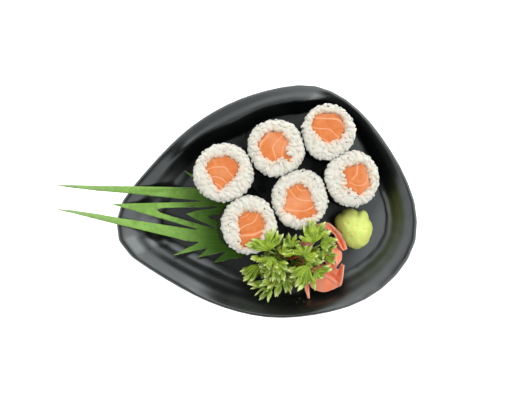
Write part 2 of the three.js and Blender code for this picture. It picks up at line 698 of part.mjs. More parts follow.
// Finishes
const finishes = {
  plate: new THREE.MeshStandardMaterial({ color: 0x2a2d2e, roughness: 0.38, metalness: 0 }),
  nori: new THREE.MeshStandardMaterial({ color: 0x14170f, roughness: 0.6, metalness: 0 }),
  rice: new THREE.MeshStandardMaterial({ color: 0xe6e2d4, roughness: 0.45, metalness: 0 }),
  salmon: new THREE.MeshStandardMaterial({ color: 0xf2935a, roughness: 0.4, metalness: 0 }),
  leaf: new THREE.MeshStandardMaterial({ color: 0x4f8a35, roughness: 0.45, metalness: 0 }),
  parsley: new THREE.MeshStandardMaterial({ color: 0x7fa832, roughness: 0.5, metalness: 0 }),
  ginger: new THREE.MeshStandardMaterial({ color: 0xf48a6a, roughness: 0.35, metalness: 0 }),
  wasabi: new THREE.MeshStandardMaterial({ color: 0xcfe07e, roughness: 0.7, metalness: 0 }),
};

const whole = new THREE.Group();

function addPiece(name, geometry, finish) {
  const mesh = new THREE.Mesh(geometry, finishes[finish]);
  mesh.name = name;
  whole.add(mesh);
}

addPiece('plate', makePlate(), 'plate');
ROLLS.forEach((roll, i) => {
  addPiece(`nori_${i + 1}`, makeNori(roll, i + 1), 'nori');
  addPiece(`rice_${i + 1}`, makeRice(roll, i + 1), 'rice');
  addPiece(`salmon_${i + 1}`, makeSalmon(roll), 'salmon');
});
addPiece('leaf', makeLeaf(), 'leaf');
GINGER.forEach((slice, i) => addPiece(`ginger_${i + 1}`, makeGinger(i), 'ginger'));
addPiece('wasabi', makeWasabi(), 'wasabi');
addPiece('parsley', makeParsley(), 'parsley');

// The origin goes under the middle of the whole
const box = new THREE.Box3().setFromObject(whole, true);
const middle = box.getCenter(new THREE.Vector3());
whole.position.set(-middle.x, -middle.y, -box.min.z);

const part = new THREE.Group();
part.add(whole);

export default part;
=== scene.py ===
# Looks of a plate of salmon maki: the black rippled dish, six rolls of rice, seaweed and salmon,
# a fold-cut leaf, parsley, pickled ginger and a ball of wasabi. Metres, +Z up.

import math
import random

import bmesh
import bpy
from mathutils import Matrix, Vector, kdtree, noise
from mathutils.bvhtree import BVHTree


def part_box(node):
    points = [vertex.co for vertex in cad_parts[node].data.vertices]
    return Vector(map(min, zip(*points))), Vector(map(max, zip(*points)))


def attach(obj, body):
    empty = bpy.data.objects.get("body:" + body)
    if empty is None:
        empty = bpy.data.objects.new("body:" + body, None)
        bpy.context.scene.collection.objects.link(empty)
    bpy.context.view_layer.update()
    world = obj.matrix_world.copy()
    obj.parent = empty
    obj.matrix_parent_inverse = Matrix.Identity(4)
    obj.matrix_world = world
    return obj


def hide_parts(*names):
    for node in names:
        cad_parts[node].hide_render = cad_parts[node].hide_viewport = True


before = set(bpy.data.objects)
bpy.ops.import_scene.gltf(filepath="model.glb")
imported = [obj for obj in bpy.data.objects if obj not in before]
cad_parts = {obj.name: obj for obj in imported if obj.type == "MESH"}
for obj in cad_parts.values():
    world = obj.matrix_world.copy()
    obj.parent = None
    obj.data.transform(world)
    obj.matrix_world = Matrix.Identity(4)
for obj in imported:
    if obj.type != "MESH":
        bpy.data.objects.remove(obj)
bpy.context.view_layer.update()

bl_info = {
    "name": "Plate of salmon maki",
    "version": (1, 0, 0),
    "blender": (4, 5, 0),
    "location": "3D View > Sidebar > Maki",
    "description": "Makes the looks of a plate of salmon rolls around its packed solids",
    "category": "Object",
}

MM = 0.001
FULL_TURN = math.tau
Z_UP = Vector((0, 0, 1))

# The dish's middle in the frame: the rim reaches this far right of it
RIM_RIGHT = 97.89 * MM
DISH_MIDDLE = Vector((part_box("plate")[1].x - RIM_RIGHT, 0, 0))

# The photograph: its middle in pixels, the camera over the dish and its focal length in pixels
PHOTO_WIDTH = 512
PHOTO_MIDDLE = (256, 200)
CAMERA_PLACE = DISH_MIDDLE + Vector((-7.26, 0.66, 670.6)) * MM
FOCAL_PIXELS = 985.7
SENSOR_WIDTH = 36

# Rays: the height they are sent down from, how far outside a piece the others start, in
# metres, and how many make a ring
ABOVE_ALL = 0.2
OUTSIDE = 0.12
RING_STEPS = 240

# The dish, in millimetres
DISH_FLOOR = 5
DISH_RIM = 20
DISH_THICKNESS = 3
DISH_UNDER = 1.8
DISH_STRETCH = (1.015, 1.008)
DISH_NEARER = 0.3
RIPPLES_ACROSS_WALL = 3.3

# Rings of faces on the dish's floor, wall, rim and underside
FLOOR_RINGS = 10
WALL_RINGS = 40
RIM_RINGS = 8
UNDER_RINGS = 10

# The dish's foot ring and the hollow inside it, as shares of the floor's radius
FOOT_OUTER = 0.74
FOOT_INNER = 0.62
HOLLOW = 0.31

# Round the dish, by angle in degrees: the wall's width in millimetres, the strength of its
# ripples, how much of it is a flat flange, at what share of the width that flange starts,
# and how much of the rise comes late
WALL_WIDTHS = [(0, 19), (48, 10), (57, 12), (70, 20), (88, 20.5), (110, 25), (150, 24), (185, 30), (225, 27),
               (265, 25), (292, 17), (318, 23)]
RIPPLE_SHARES = [(0, 0.3), (48, 0.2), (90, 0.4), (150, 0.7), (185, 0.6), (218, 0.9), (245, 0.5), (315, 0.3)]
FLANGE_SHARES = [(0, 0.1), (55, 0.4), (68, 1), (138, 1), (160, 0.2), (180, 0), (270, 0), (315, 0)]
FLANGE_STARTS = [(0, 0.45), (55, 0.4), (70, 0.32), (110, 0.4), (140, 0.52), (180, 0.52), (270, 0.52)]
LATE_RISES = [(0, 0), (222, 0), (246, 1), (275, 1), (300, 0)]

# How the glaze's shading bows down: its rate from left to right, and then each way that it
# bows from the dish's middle, with where in metres that starts and its rate
BOW_ACROSS = 0.6
DISH_BOWS = [((0, 1), 0.03, 2.1), ((0.87, -0.5), 0.065, 4)]

# Heights and other measures that the rolls share
RICE_TOP_OVER_FOOT = 28 * MM
SALMON_BELOW_TOP = 0.7 * MM
NORI_BELOW_TOP = 3.2 * MM
NORI_THICKNESS = 0.3 * MM
WIDEST_RADIUS = 19 * MM

# The rice's rounded shoulder: how far inside the wrap and below the top, in millimetres
RICE_SHOULDER = [(5, -0.15), (2.6, 0.05), (1.35, 0.5), (0.65, 1.3), (0.4, 2.3), (0.9, 3.6)]

# The rolls: middle of the top from the dish's middle, how much narrower the rice is from left
# to right than from front to back, and the salmon's fat lines from the middle of the roll,
# each with its half width, all in millimetres
ROLLS = [
    {"top": (-28.3, 18.4), "narrower": 0, "fat": [
        (0.42, [(-11, 1.8), (-9.6, 2.2), (-6.6, 3.3), (-2.6, 3.6), (1, 3.3), (2.9, 0.9), (5.6, -2.1),
                (8.6, -4.6)]),
        (0.36, [(-9, -2.4), (-7.5, -2.7), (-3.9, -2.9), (-0.4, -4.6), (2.3, -7.3), (4, -9.4)]),
        (0.34, [(-6, -6.9), (-4.7, -7.3), (-2.6, -8.4), (-0.1, -10.5)]),
        (0.2, [(-7.6, 9.6), (-6.4, 8), (-4.7, 4.7)]),
    ]},
    {"top": (6.3, 34.1), "narrower": 0.05, "fat": [
        (0.42, [(3.4, 7.8), (2.2, 6.6), (-0.2, 4.2), (-2.4, 1.2), (-2.6, -0.8), (-1.7, -3.5), (-0.4, -8.5)]),
        (0.3, [(7, 5.4), (5.8, 4.2), (4, 0.4), (3.3, -3.3), (3.5, -6.5)]),
        (0.6, [(-4, 10.4), (-4.9, 9.6), (-7.1, 6.6), (-9.8, 3.7), (-10.8, 0.4), (-10.6, -2)]),
    ]},
    {"top": (39.6, 44.6), "narrower": 0.3, "fat": [
        (0.65, [(-10, 9.4), (-8, 9.2), (-2.3, 8.8), (4.4, 8.6), (7.3, 7.3), (10.5, 3), (11, 0.5)]),
        (0.34, [(-11.4, 3.6), (-10.6, 3.3), (-6.3, 2.2), (-0.2, 1.9), (3, -0.2), (6.8, -4), (8, -5.6)]),
        (0.36, [(-5, -4.1), (-3.4, -4.8), (-0.2, -6.4), (1, -7.4)]),
    ]},
    {"top": (21.2, 1.3), "narrower": 0.5, "fat": [
        (0.42, [(-7.4, 7.2), (-6.5, 5.7), (-4.6, 2.9), (-1.8, 0.2), (2.1, -0.9), (5.9, -1.2), (9, -1)]),
        (0.46, [(-11.5, -4), (-10.4, -5.1), (-7.9, -7), (-0.1, -7.8), (4, -7.3), (9, -4.8), (10.5, -3.8)]),
        (0.32, [(-2.6, 9.4), (-1, 6.5), (1.2, 5.4), (4.6, 5.7), (6, 6)]),
    ]},
    {"top": (-11.4, -15.2), "narrower": 0.55, "fat": [
        (0.42, [(6, 8.4), (5.4, 7), (4.4, 4.1), (3, 1.9), (1, 0.6), (-2, -0.4), (-4.7, -1.9), (-7, -3.4)]),
        (0.85, [(-6.6, -7.6), (-5.4, -7.5), (-1.5, -6.8), (2.5, -6.6), (5.9, -5.1), (9.6, -3.3)]),
        (0.3, [(-6.8, 4.2), (-5.9, 4.3), (-2.5, 5.3), (-0.7, 6.8)]),
    ]},
    {"top": (54.9, 14.7), "narrower": 0.3, "fat": [
        (0.42, [(3.4, 9), (3.4, 8.2), (3.2, 4.2), (2.7, 2.2), (0, -0.5)]),
        (0.36, [(9.4, 7), (9.8, 5.2), (10, -0.7), (8.6, -3.5), (5.6, -4.7), (2.2, -4.4), (-1.8, -2.6)]),
        (0.24, [(10.4, 3), (10.6, 1.7), (12.6, -0.7)]),
    ]},
]

# Lumps of rice that stand out: roll, place from its middle in millimetres, and size
RICE_LUMPS = [
    (3, (-8.3, -12.9), (8.4, 7.8, 4.4)), (5, (-6, 1.6), (3.6, 2.8, 2.2)), (1, (8.2, -3.4), (4.6, 3, 2.2)),
]

# The leaf, folded along its length and cut: half its outline, along and off the fold
LEAF_ROOT = (-102.3, -2)
LEAF_TURN = math.radians(-7.7)
LEAF_HALF_OUTLINE = [
    (0, 0), (28, 4.6), (56, 9), (57.5, 9.4), (56, 9.9), (10, 8.5), (-10, 7.4), (-30, 7.2), (-36, 7.5),
    (-35.6, 8.1), (-28, 8.8), (-10, 10.8), (9, 13.1), (52, 18), (60, 17.8), (44, 28.4), (66, 21),
    (60, 28.2), (79, 21.2), (71, 30.1), (90, 24), (98, 17),
]
LOWER_BLADE_SHORTER = 4
BLADES_LEFT_OF = -20

# From where to where along the frame, in millimetres, the leaf's tips turn pale, the rest of
# it a little paler, its green deeper with painted shade towards the rolls, and its part under
# the rolls dark with painted shadow; and the cells it is cut into
LEAF_TIPS = (-117, -108)
LEAF_PALER = (-108, -60)
LEAF_DEEPER = (-50, -8)
LEAF_SHADED = (-6, 6)
LEAF_CELLS = (3, 1.5)
LEAF_SLOTS = [
    [(29, 0), (32, 1.6), (52, 5), (68, 7.4), (69, 6.6), (56, 3.2), (48.6, 0)],
    [(63, 0), (66, 1.1), (78, 3.4), (79, 0)],
]

# Parsley leaves, about from the lowest up: the pixel where a leaf's stem meets it, its height in
# millimetres, and the pixels that its lobes point at, in order round the leaf
PARSLEY_LEAVES = [
    ((278, 279), 19, [(249.5, 287), (252, 291), (253, 295.5), (259, 300.3)]),
    ((277, 278), 21, [(259, 300), (263, 299.5), (266.5, 298), (271, 294)]),
    ((283, 277), 21, [(271, 294), (276.7, 297.2), (282, 293.5)]),
    ((286, 272), 22, [(282, 293), (287.6, 294.2), (292.4, 291), (296.5, 288)]),
    ((261, 264.5), 21, [(238.4, 269), (241.8, 275.4), (244, 282.4), (247, 284.8), (254, 283.5),
        (261, 279.3)]),
    ((278, 272), 24, [(262, 281), (259.5, 286), (265, 290), (272, 291), (279, 288)]),
    ((273.6, 267), 26, [(261, 262), (258.5, 269.5), (261, 275), (266, 280), (273, 281)]),
    ((323, 258), 26, [(337, 252), (336.6, 257), (335.2, 263), (331, 262)]),
    ((314, 270), 26, [(331, 267), (332.6, 270.5), (332.2, 275), (322, 278.5), (315, 282)]),
    ((281, 263), 28, [(267, 272), (269, 280), (276, 283), (284, 281), (289, 275)]),
    ((323, 248), 29, [(334, 240), (336, 246), (337, 251), (331, 256), (322, 259)]),
    ((309, 265), 30, [(287.4, 271.5), (289, 278), (291.4, 284.8), (297, 288), (301, 292.6), (305, 292),
        (311, 292.6), (314, 283)]),
    ((291.6, 248), 31, [(282, 241), (287.6, 232.2), (290.5, 234.5), (296.2, 234), (300, 240)]),
    ((284, 256), 31, [(276, 248), (281, 243), (290, 245), (294, 252)]),
    ((309, 258), 29, [(318, 247), (325, 252), (326, 260), (320, 266), (310, 269)]),
    ((276, 262), 30, [(288, 262), (288, 269), (281, 274), (273, 272)]),
    ((303, 255), 33, [(281, 253), (288, 247), (297, 244), (306, 245), (314, 248), (318, 256), (314, 264)]),
    ((320, 245), 33, [(327.4, 229), (331.5, 232), (337, 236.4), (335, 241), (331, 244), (328, 251)]),
    ((314.4, 243), 36, [(298.4, 237.2), (298.4, 230.2), (305.5, 223), (309.4, 220), (313.5, 217.6),
        (322.8, 220.4), (328.6, 228)]),
    ((270, 257), 33, [(280, 266), (272, 270), (264, 266), (257, 265.2), (250.5, 260)]),
    ((269, 251), 36, [(245.4, 248), (244.6, 241.2), (254.6, 235), (263, 230), (272.8, 227.6),
        (277, 230.6), (284, 233.2), (283.4, 240)]),
]

# Ginger slices, lowest first: the pixels of one long edge and the other, and the creases:
# how far each rises or, below zero, sinks, its half width, both in millimetres, and its pixels
GINGER_SLICES = [
    {"node": "ginger_1", "edges": [
        [(305, 238.8), (299, 244), (296.5, 254), (299, 268), (302, 280), (305.6, 291), (308.4, 298.6)],
        [(307.5, 239), (312.5, 244), (315, 256), (311.5, 268), (309.3, 280), (309.6, 290), (310, 298.9)]],
     "creases": [(0.8, 1, [(301, 249), (306, 245), (311, 248)]),
                 (-0.8, 1, [(302, 253), (306, 250), (310, 253)])]},
    {"node": "ginger_2", "edges": [
        [(309.4, 279), (310.4, 286), (313, 289.4), (318, 291.8), (323.4, 292.9), (328, 292.3), (332.5, 290.4),
         (337, 288), (341.4, 285.7), (342.8, 279.5), (344, 271), (344.8, 265)],
        [(309.8, 277), (312, 270), (317, 265.5), (322, 264), (327, 264), (331, 264.5), (335, 267),
         (337.5, 269), (338.8, 269), (340, 266.5), (341.6, 263.4)]],
     "creases": [(1.8, 0.9, [(343.6, 265), (342.8, 272), (341.6, 279), (340, 285)]),
                 (-1.5, 1, [(339, 265), (339.4, 271), (338.4, 276)]),
                 (1.2, 0.9, [(312, 277), (315.1, 275.3), (320.6, 274.4), (326.1, 276.1), (331.1, 278.6),
                             (336, 282)]),
                 (-1.3, 1.1, [(316, 271.5), (326, 272.5), (333, 275.6), (338.4, 281)])]},
    {"node": "ginger_3", "edges": [
        [(333.6, 241), (328.6, 244), (325, 251), (324.4, 259), (326, 265), (330, 268)],
        [(334.6, 241), (338.4, 244.4), (341.2, 250), (342.6, 256.3), (340.8, 261), (336.4, 267.4)]],
     "creases": [(-2, 0.9, [(334.5, 239.5), (337, 244), (341.3, 249.2)]),
                 (1, 0.9, [(327, 246), (331, 249), (335, 256), (336, 264)]),
                 (-0.9, 0.8, [(329, 254), (332, 260), (332, 267)])]},
    {"node": "ginger_4", "edges": [
        [(314, 225), (318, 223.6), (327.5, 222.4), (332.8, 225.2), (337.6, 230.2), (343.4, 236.3),
         (345.4, 240.5), (347.6, 249)],
        [(315, 231), (320, 230), (326.5, 228.6), (331.4, 231.4), (335.6, 236), (337, 240.4), (341, 247),
         (343.6, 251)]],
     "creases": [(0.5, 0.8, [(320, 224.8), (327.5, 224.3), (332, 226.8), (336.6, 231.4), (342.3, 237.4),
                             (345, 243)]),
                 (-0.6, 1.2, [(322, 228), (328, 227.6), (332, 230.4), (335.8, 234.4), (340, 241),
                              (343.6, 248)])]},
]

# The curl of ginger in the parsley's hollow: pixel and height in millimetres
GINGER_STRAND = [
    ((279, 253.5), 25), ((282.5, 256.5), 26.5), ((286, 257.6), 24), ((291.5, 259), 25), ((294.5, 257), 27.5),
    ((298.5, 257), 28), ((301.2, 260.2), 28), ((300.4, 264), 26.5), ((297, 266), 24),
]

# Dents in the wasabi, at one height: pixel, depth and half width, in millimetres
WASABI_HEIGHT = 18
WASABI_DENTS = [
    ((359.4, 209.5), 3.2, 1.6), ((357.5, 214), 1, 1.4), ((346.5, 223), 1, 0.9), ((363, 229), 0.9, 0.8),
    ((350, 236), 0.7, 1.4), ((343, 214), 1.2, 1.8), ((368.5, 219), 0.8, 2), ((341.5, 238), 1.5, 1.6),
    ((355, 226), 0.5, 1), ((360, 240), 0.6, 1.2),
]

# Beads of brine on the dish: pixel, length and width in millimetres, turn in degrees
BEADS = [
    ((346.3, 271), (0.9, 0.7), 0), ((348.5, 252.7), (0.7, 0.6), 40), ((299, 297), (1.6, 0.6), 65),
    ((303, 300), (1.2, 0.5), 50), ((296, 301), (0.7, 0.5), 20), ((177.5, 151), (1.8, 0.4), 60),
    ((362, 262), (0.5, 0.5), 0), ((236, 281), (0.6, 0.5), 0), ((326, 300.5), (0.7, 0.5), 10),
    ((206.5, 233.8), (0.6, 0.5), 0),
]


# A parsley lobe's toothed edge: a place across it, and how far out the edge is there
LOBE_TEETH = [(-0.5, 0.46), (-0.4, 0.77), (-0.3, 0.87), (-0.2, 0.79), (-0.07, 0.97), (0.04, 1), (0.19, 0.81),
              (0.31, 0.9), (0.4, 0.76), (0.5, 0.46)]

# The parsley's middle in pixels, and its inner leaves: their middle and how far they reach
# from it, both in pixels, and how many there are
PARSLEY_MIDDLE = (289, 262)
INNER_MIDDLE = (290, 262)
INNER_REACH = (26, 19)
INNER_LEAVES = 80

# Rice grains: how many a roll has at most, and how many places are tried for them
MOST_GRAINS = 340
MOST_TRIES = 5000

# Where crumbs lie on the rice's section, from 0 at the salmon to 1 inside the wrap
CRUMB_SHARES = (0.3, 0.5, 0.6, 0.68, 0.74, 0.8, 0.86, 0.92)
CRUMBS_ON_A_ROLL = 15

# Tints of the materials: grains dulled at random, milky spots on the rice, the leaf's pale tips
# and the painted shadow on its part under the rolls, and the brine
GRAIN_SHADE = (0.82, 0.83, 0.80)
RICE_MILKY = (0.84, 0.83, 0.76)
LEAF_TIP = (0.42, 0.47, 0.36)
LEAF_UNDER = (0.006, 0.02, 0.002)
BRINE_DARK = (0.01, 0.011, 0.011)
BRINE_LIGHT = (0.05, 0.055, 0.05)

# The sky: how bright it is from the horizon, 0, to straight overhead, 1, and from left to right,
# then its dark band: where that ends at either side and at the far end, and how bright it is
SKY_LEVELS = [(0, 0.7), (0.2, 1.2), (0.45, 1.6), (0.7, 1.7), (1, 1.75)]
SKY_LEFT = 0.82
SKY_RIGHT = 1.17
BAND_SIDES = (0.18, 0.42)
BAND_FAR_END = (0.40, 0.62)
BAND_LEVEL = 0.004

# The lamp and the floor, in metres
LAMP_PLACE = Vector((0.45, 0.45, 0.75))
LAMP_SIZE = 0.5
FLOOR_HALF = 2.5


# What a user would change
def colour_value(name, description, *default):
    """A property that holds a colour."""
    return bpy.props.FloatVectorProperty(name=name, description=description, subtype="COLOR", default=default)


def length_value(name, description, default):
    """A property that holds a length in metres."""
    return bpy.props.FloatProperty(name=name, description=description, unit="LENGTH", default=default)


class MakiDish(bpy.types.PropertyGroup):
    colour: colour_value("Dish colour", "Black of the glazed dish", 0.0022, 0.0026, 0.0028)
    roughness: bpy.props.FloatProperty(
        name="Dish roughness", description="How far reflections spread on the dish",
        default=0.3, min=0, max=1)
    ripple: length_value("Ripple height", "Height of the ripples on the wall", 0.00022)


class MakiRolls(bpy.types.PropertyGroup):
    grain_length: length_value("Grain length", "Length of a cooked grain", 0.0055)
    grain_width: length_value("Grain width", "Width of a cooked grain", 0.0031)
    grain_gap: length_value("Grain spacing", "Least distance between grain middles", 0.0026)
    rice: colour_value("Rice colour", "White of the cooked rice", 0.705, 0.66, 0.57)
    # Painted glow on the rice beside the salmon: light that the salmon scatters into the grains, painted as a
    # peach tint
    rice_warm: colour_value(
        "Rice by the salmon", "Peach tint of the grains that touch the salmon", 0.76, 0.55, 0.41)
    # Painted shade on the rice's rounded outer edge and down its sides, grey with the clear look of the
    # grains there
    rice_cool: colour_value(
        "Rice at the edge", "Grey of the clear grains at the outer edge", 0.47, 0.50, 0.48)
    salmon: colour_value("Salmon colour", "Orange of the raw salmon", 0.725, 0.235, 0.064)
    fat: colour_value("Fat colour", "Pale lines between the flakes", 0.87, 0.43, 0.24)
    nori: colour_value("Seaweed colour", "Green-black of the wrap", 0.006, 0.007, 0.004)


class MakiLeaf(bpy.types.PropertyGroup):
    thickness: length_value("Leaf thickness", "Thickness of the fold-cut leaf", 0.0004)
    light: colour_value("Leaf light green", "Colour of the blades", 0.25, 0.47, 0.09)
    # The leaf's deep green is painted shade, deepening towards the rolls
    deep: colour_value("Leaf deep green", "Colour near the rolls", 0.032, 0.10, 0.004)
    edge: colour_value("Leaf edge", "Pale cut edge", 0.36, 0.52, 0.22)


class MakiParsley(bpy.types.PropertyGroup):
    thickness: length_value("Parsley thickness", "Thickness of a leaf", 0.00028)
    light: colour_value("Parsley green", "Colour of the leaves", 0.36, 0.48, 0.02)
    # The parsley's deep green is painted shade: in the folds, between the lobes and on the lower and inner
    # leaves
    deep: colour_value("Parsley deep green", "Colour in the folds", 0.12, 0.22, 0.004)
    # The pale tips are partly the leaf's own paler edge and partly painted highlight
    tip: colour_value("Parsley tips", "Pale teeth and edges", 0.74, 0.84, 0.34)


class MakiGinger(bpy.types.PropertyGroup):
    thickness: length_value("Ginger thickness", "Thickness of a slice", 0.0012)
    colour: colour_value("Ginger colour", "Pink-orange of the slices", 0.98, 0.34, 0.19)
    # The deep orange is partly random tone and partly painted shade in the sunk creases
    deep: colour_value("Ginger deep colour", "Deeper orange in the folds", 0.90, 0.15, 0.04)
    # The pale rims are the thin edges, and also painted highlight on the raised creases
    rim: colour_value("Ginger rim", "Pale thin rims", 0.95, 0.48, 0.37)


class MakiWasabi(bpy.types.PropertyGroup):
    colour: colour_value("Wasabi colour", "Pale green of the paste", 0.655, 0.79, 0.20)
    # The olive is painted shade on the left side and in the dents and pits, and at the foot partly stain and
    # partly painted shade
    shade: colour_value("Wasabi shade", "Olive of its pits and foot", 0.70, 0.56, 0.10)


class MakiStage(bpy.types.PropertyGroup):
    floor: colour_value("Floor colour", "Plain pale floor", 0.96, 0.96, 0.96)
    key_power: bpy.props.FloatProperty(
        name="Key light", description="Power of the large soft light in watts", default=1.5)
    sky: bpy.props.FloatProperty(
        name="Sky light", description="Strength of the light all round", default=1.06)


# Places and shapes
def seen(pixel, height):
    """The point at a height, in millimetres, that the photograph shows at a pixel."""
    drop = CAMERA_PLACE.z - height * MM
    x = CAMERA_PLACE.x + (pixel[0] - PHOTO_MIDDLE[0]) * drop / FOCAL_PIXELS
    y = CAMERA_PLACE.y - (pixel[1] - PHOTO_MIDDLE[1]) * drop / FOCAL_PIXELS
    return Vector((x, y, height * MM))


def step(low, high, value):
    """0 below low, 1 above high, and a smooth rise between."""
    share = min(max((value - low) / (high - low), 0), 1)
    return share * share * (3 - 2 * share)


def eased(table, angle):
    """A value that changes smoothly between the angles of a table, in degrees."""
    angle = math.degrees(angle) % 360
    pairs = [*table, (table[0][0] + 360, table[0][1])]
    for (before, low), (after, high) in zip(pairs, pairs[1:]):
        if before <= angle <= after:
            return low + (high - low) * step(before, after, angle)


def around(angle):
    return Vector((math.cos(angle), math.sin(angle), 0))


def rough(point, scale, seed=0):
    """Smooth noise from -1 to 1 at a point in metres."""
    return noise.noise(Vector(point) * scale + Vector((seed * 17.3, seed * 5.1, seed * 9.7)))


def curve_through(points, steps):
    """Points of a smooth curve through a few points."""
    last = len(points) - 1
    made = []
    for i in range(last):
        before, start, end, after = (points[min(max(k, 0), last)] for k in range(i - 1, i + 3))
        for k in range(steps):
            t = k / steps
            made.append(Vector([
                0.5 * (2 * b + (c - a) * t + (2 * a - 5 * b + 4 * c - d) * t * t
                       + (3 * b - a - 3 * c + d) * t ** 3)
                for a, b, c, d in zip(before, start, end, after)]))
    made.append(Vector(points[-1]))
    return made


def surface(node):
    """A CAD node's faces, to send rays at."""
    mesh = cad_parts[node].data
    return BVHTree.FromPolygons([v.co for v in mesh.vertices], [p.vertices for p in mesh.polygons])


def height_over(tree, x, y, default):
    """Height of the top of a surface over a point."""
    hit = tree.ray_cast(Vector((x, y, ABOVE_ALL)), -Z_UP)[0]
    return hit.z if hit else default


def evened(values, reach):
    """Values round a ring, each the mean of its neighbours."""
    count = len(values)
    width = 2 * reach + 1
    return [sum(values[(i + k) % count] for k in range(-reach, reach + 1)) / width for i in range(count)]


class Ring:
    """A distance for each angle round a middle point."""

    def __init__(self, values):
        self.values = values

    def at(self, angle):
        place = (angle % FULL_TURN) / FULL_TURN * len(self.values)
        low = int(place) % len(self.values)
        high = (low + 1) % len(self.values)
        return self.values[low] + (self.values[high] - self.values[low]) * (place - int(place))


def ring_of(tree, middle, inside, even):
    """How far a surface lies from a middle point, seen from inside it or from far outside."""
    values = []
    for k in range(RING_STEPS):
        way = around(k / RING_STEPS * FULL_TURN)
        start = middle if inside else middle + way * OUTSIDE
        hit = tree.ray_cast(start, way if inside else -way, OUTSIDE)[0]
        values.append((hit - middle).length if hit else values[-1])
    return Ring(evened(values, even))


def finder_along(points):
    """Finds how far a spot on the floor plan lies from a line of points."""
    finder = kdtree.KDTree(len(points))
    for i, point in enumerate(points):
        finder.insert((point.x, point.y, 0), i)
    finder.balance()
    return finder


# Meshes
def grid_skin(bm, turns, rows, place):
    """A flat grid rolled up: place gives each corner from a turn and a share from 0 to 1."""
    verts = bmesh.ops.create_grid(bm, x_segments=turns, y_segments=rows, size=0.5)["verts"]
    for vert in verts:
        vert.co = place((vert.co.x + 0.5) * FULL_TURN, vert.co.y + 0.5, vert)
    return verts


def close_up(bm):
    """Joins seams and poles, and turns every face outwards."""
    bmesh.ops.remove_doubles(bm, verts=bm.verts, dist=1e-6)
    bmesh.ops.recalc_face_normals(bm, faces=bm.faces)


def face_up(bm):
    """Turns the faces of an open sheet upwards."""
    bmesh.ops.recalc_face_normals(bm, faces=bm.faces)
    if sum(face.normal.z for face in bm.faces) < 0:
        bmesh.ops.reverse_faces(bm, faces=bm.faces)


def masks(bm, *names):
    """Values on the corners, which the materials read by name."""
    return [bm.verts.layers.float.new(name) for name in names]


def smooth(bm, times, **axes):
    """Smooths every corner along some axes."""
    for _ in range(times):
        bmesh.ops.smooth_vert(bm, verts=bm.verts, factor=0.5, **axes)


def copy_of(node):
    """A CAD node's mesh with its triangles joined up."""
    bm = bmesh.new()
    bm.from_mesh(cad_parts[node].data)
    bmesh.ops.remove_doubles(bm, verts=bm.verts, dist=1e-6)
    return bm


def piece(bm, name, finishes, nodes=()):
    """The finished object: smooth, in its materials, riding on the one body."""
    mesh = bpy.data.meshes.new(name)
    for face in bm.faces:
        face.smooth = True
    bm.to_mesh(mesh)
    bm.free()
    made = bpy.data.objects.new(name, mesh)
    bpy.context.scene.collection.objects.link(made)
    for finish in finishes:
        mesh.materials.append(finish)
    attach(made, "root")
    if nodes:
        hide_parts(*nodes)
    return made


def thicken(made, thickness, offset, rim_material=0):
    """Gives a sheet its thickness."""
    solidify = made.modifiers.new("Thickness", "SOLIDIFY")
    solidify.thickness = thickness
    solidify.offset = offset
    solidify.use_rim = True
    solidify.material_offset_rim = rim_material


def soften(made, levels):
    """Rounds a piece by subdivision."""
    rounded = made.modifiers.new("Round", "SUBSURF")
    rounded.levels = levels
    rounded.render_levels = levels


def scatter(bm, shape, places, marks):
    """Copies of a small shape, each at its own matrix and with its own values."""
    one = bmesh.new()
    shape(one)
    template = bpy.data.meshes.new("template")
    one.to_mesh(template)
    one.free()
    for matrix, values in zip(places, marks):
        bm.verts.ensure_lookup_table()
        start = len(bm.verts)
        bm.from_mesh(template)
        bm.verts.ensure_lookup_table()
        fresh = bm.verts[start:]
        bmesh.ops.transform(bm, matrix=matrix, verts=fresh)
        for vert in fresh:
            for layer, value in values:
                vert[layer] = value
    bpy.data.meshes.remove(template)


def laid_on(normal, way):
    """A turn that lays Z along a normal, with X square to a second way."""
    side = normal.cross(way).normalized()
    return Matrix((side, normal.cross(side), normal)).transposed().to_4x4()


def round_line(ahead, side, turn):
    """The way out from a line at a turn round it."""
    return side * math.cos(turn) + ahead.cross(side) * math.sin(turn)


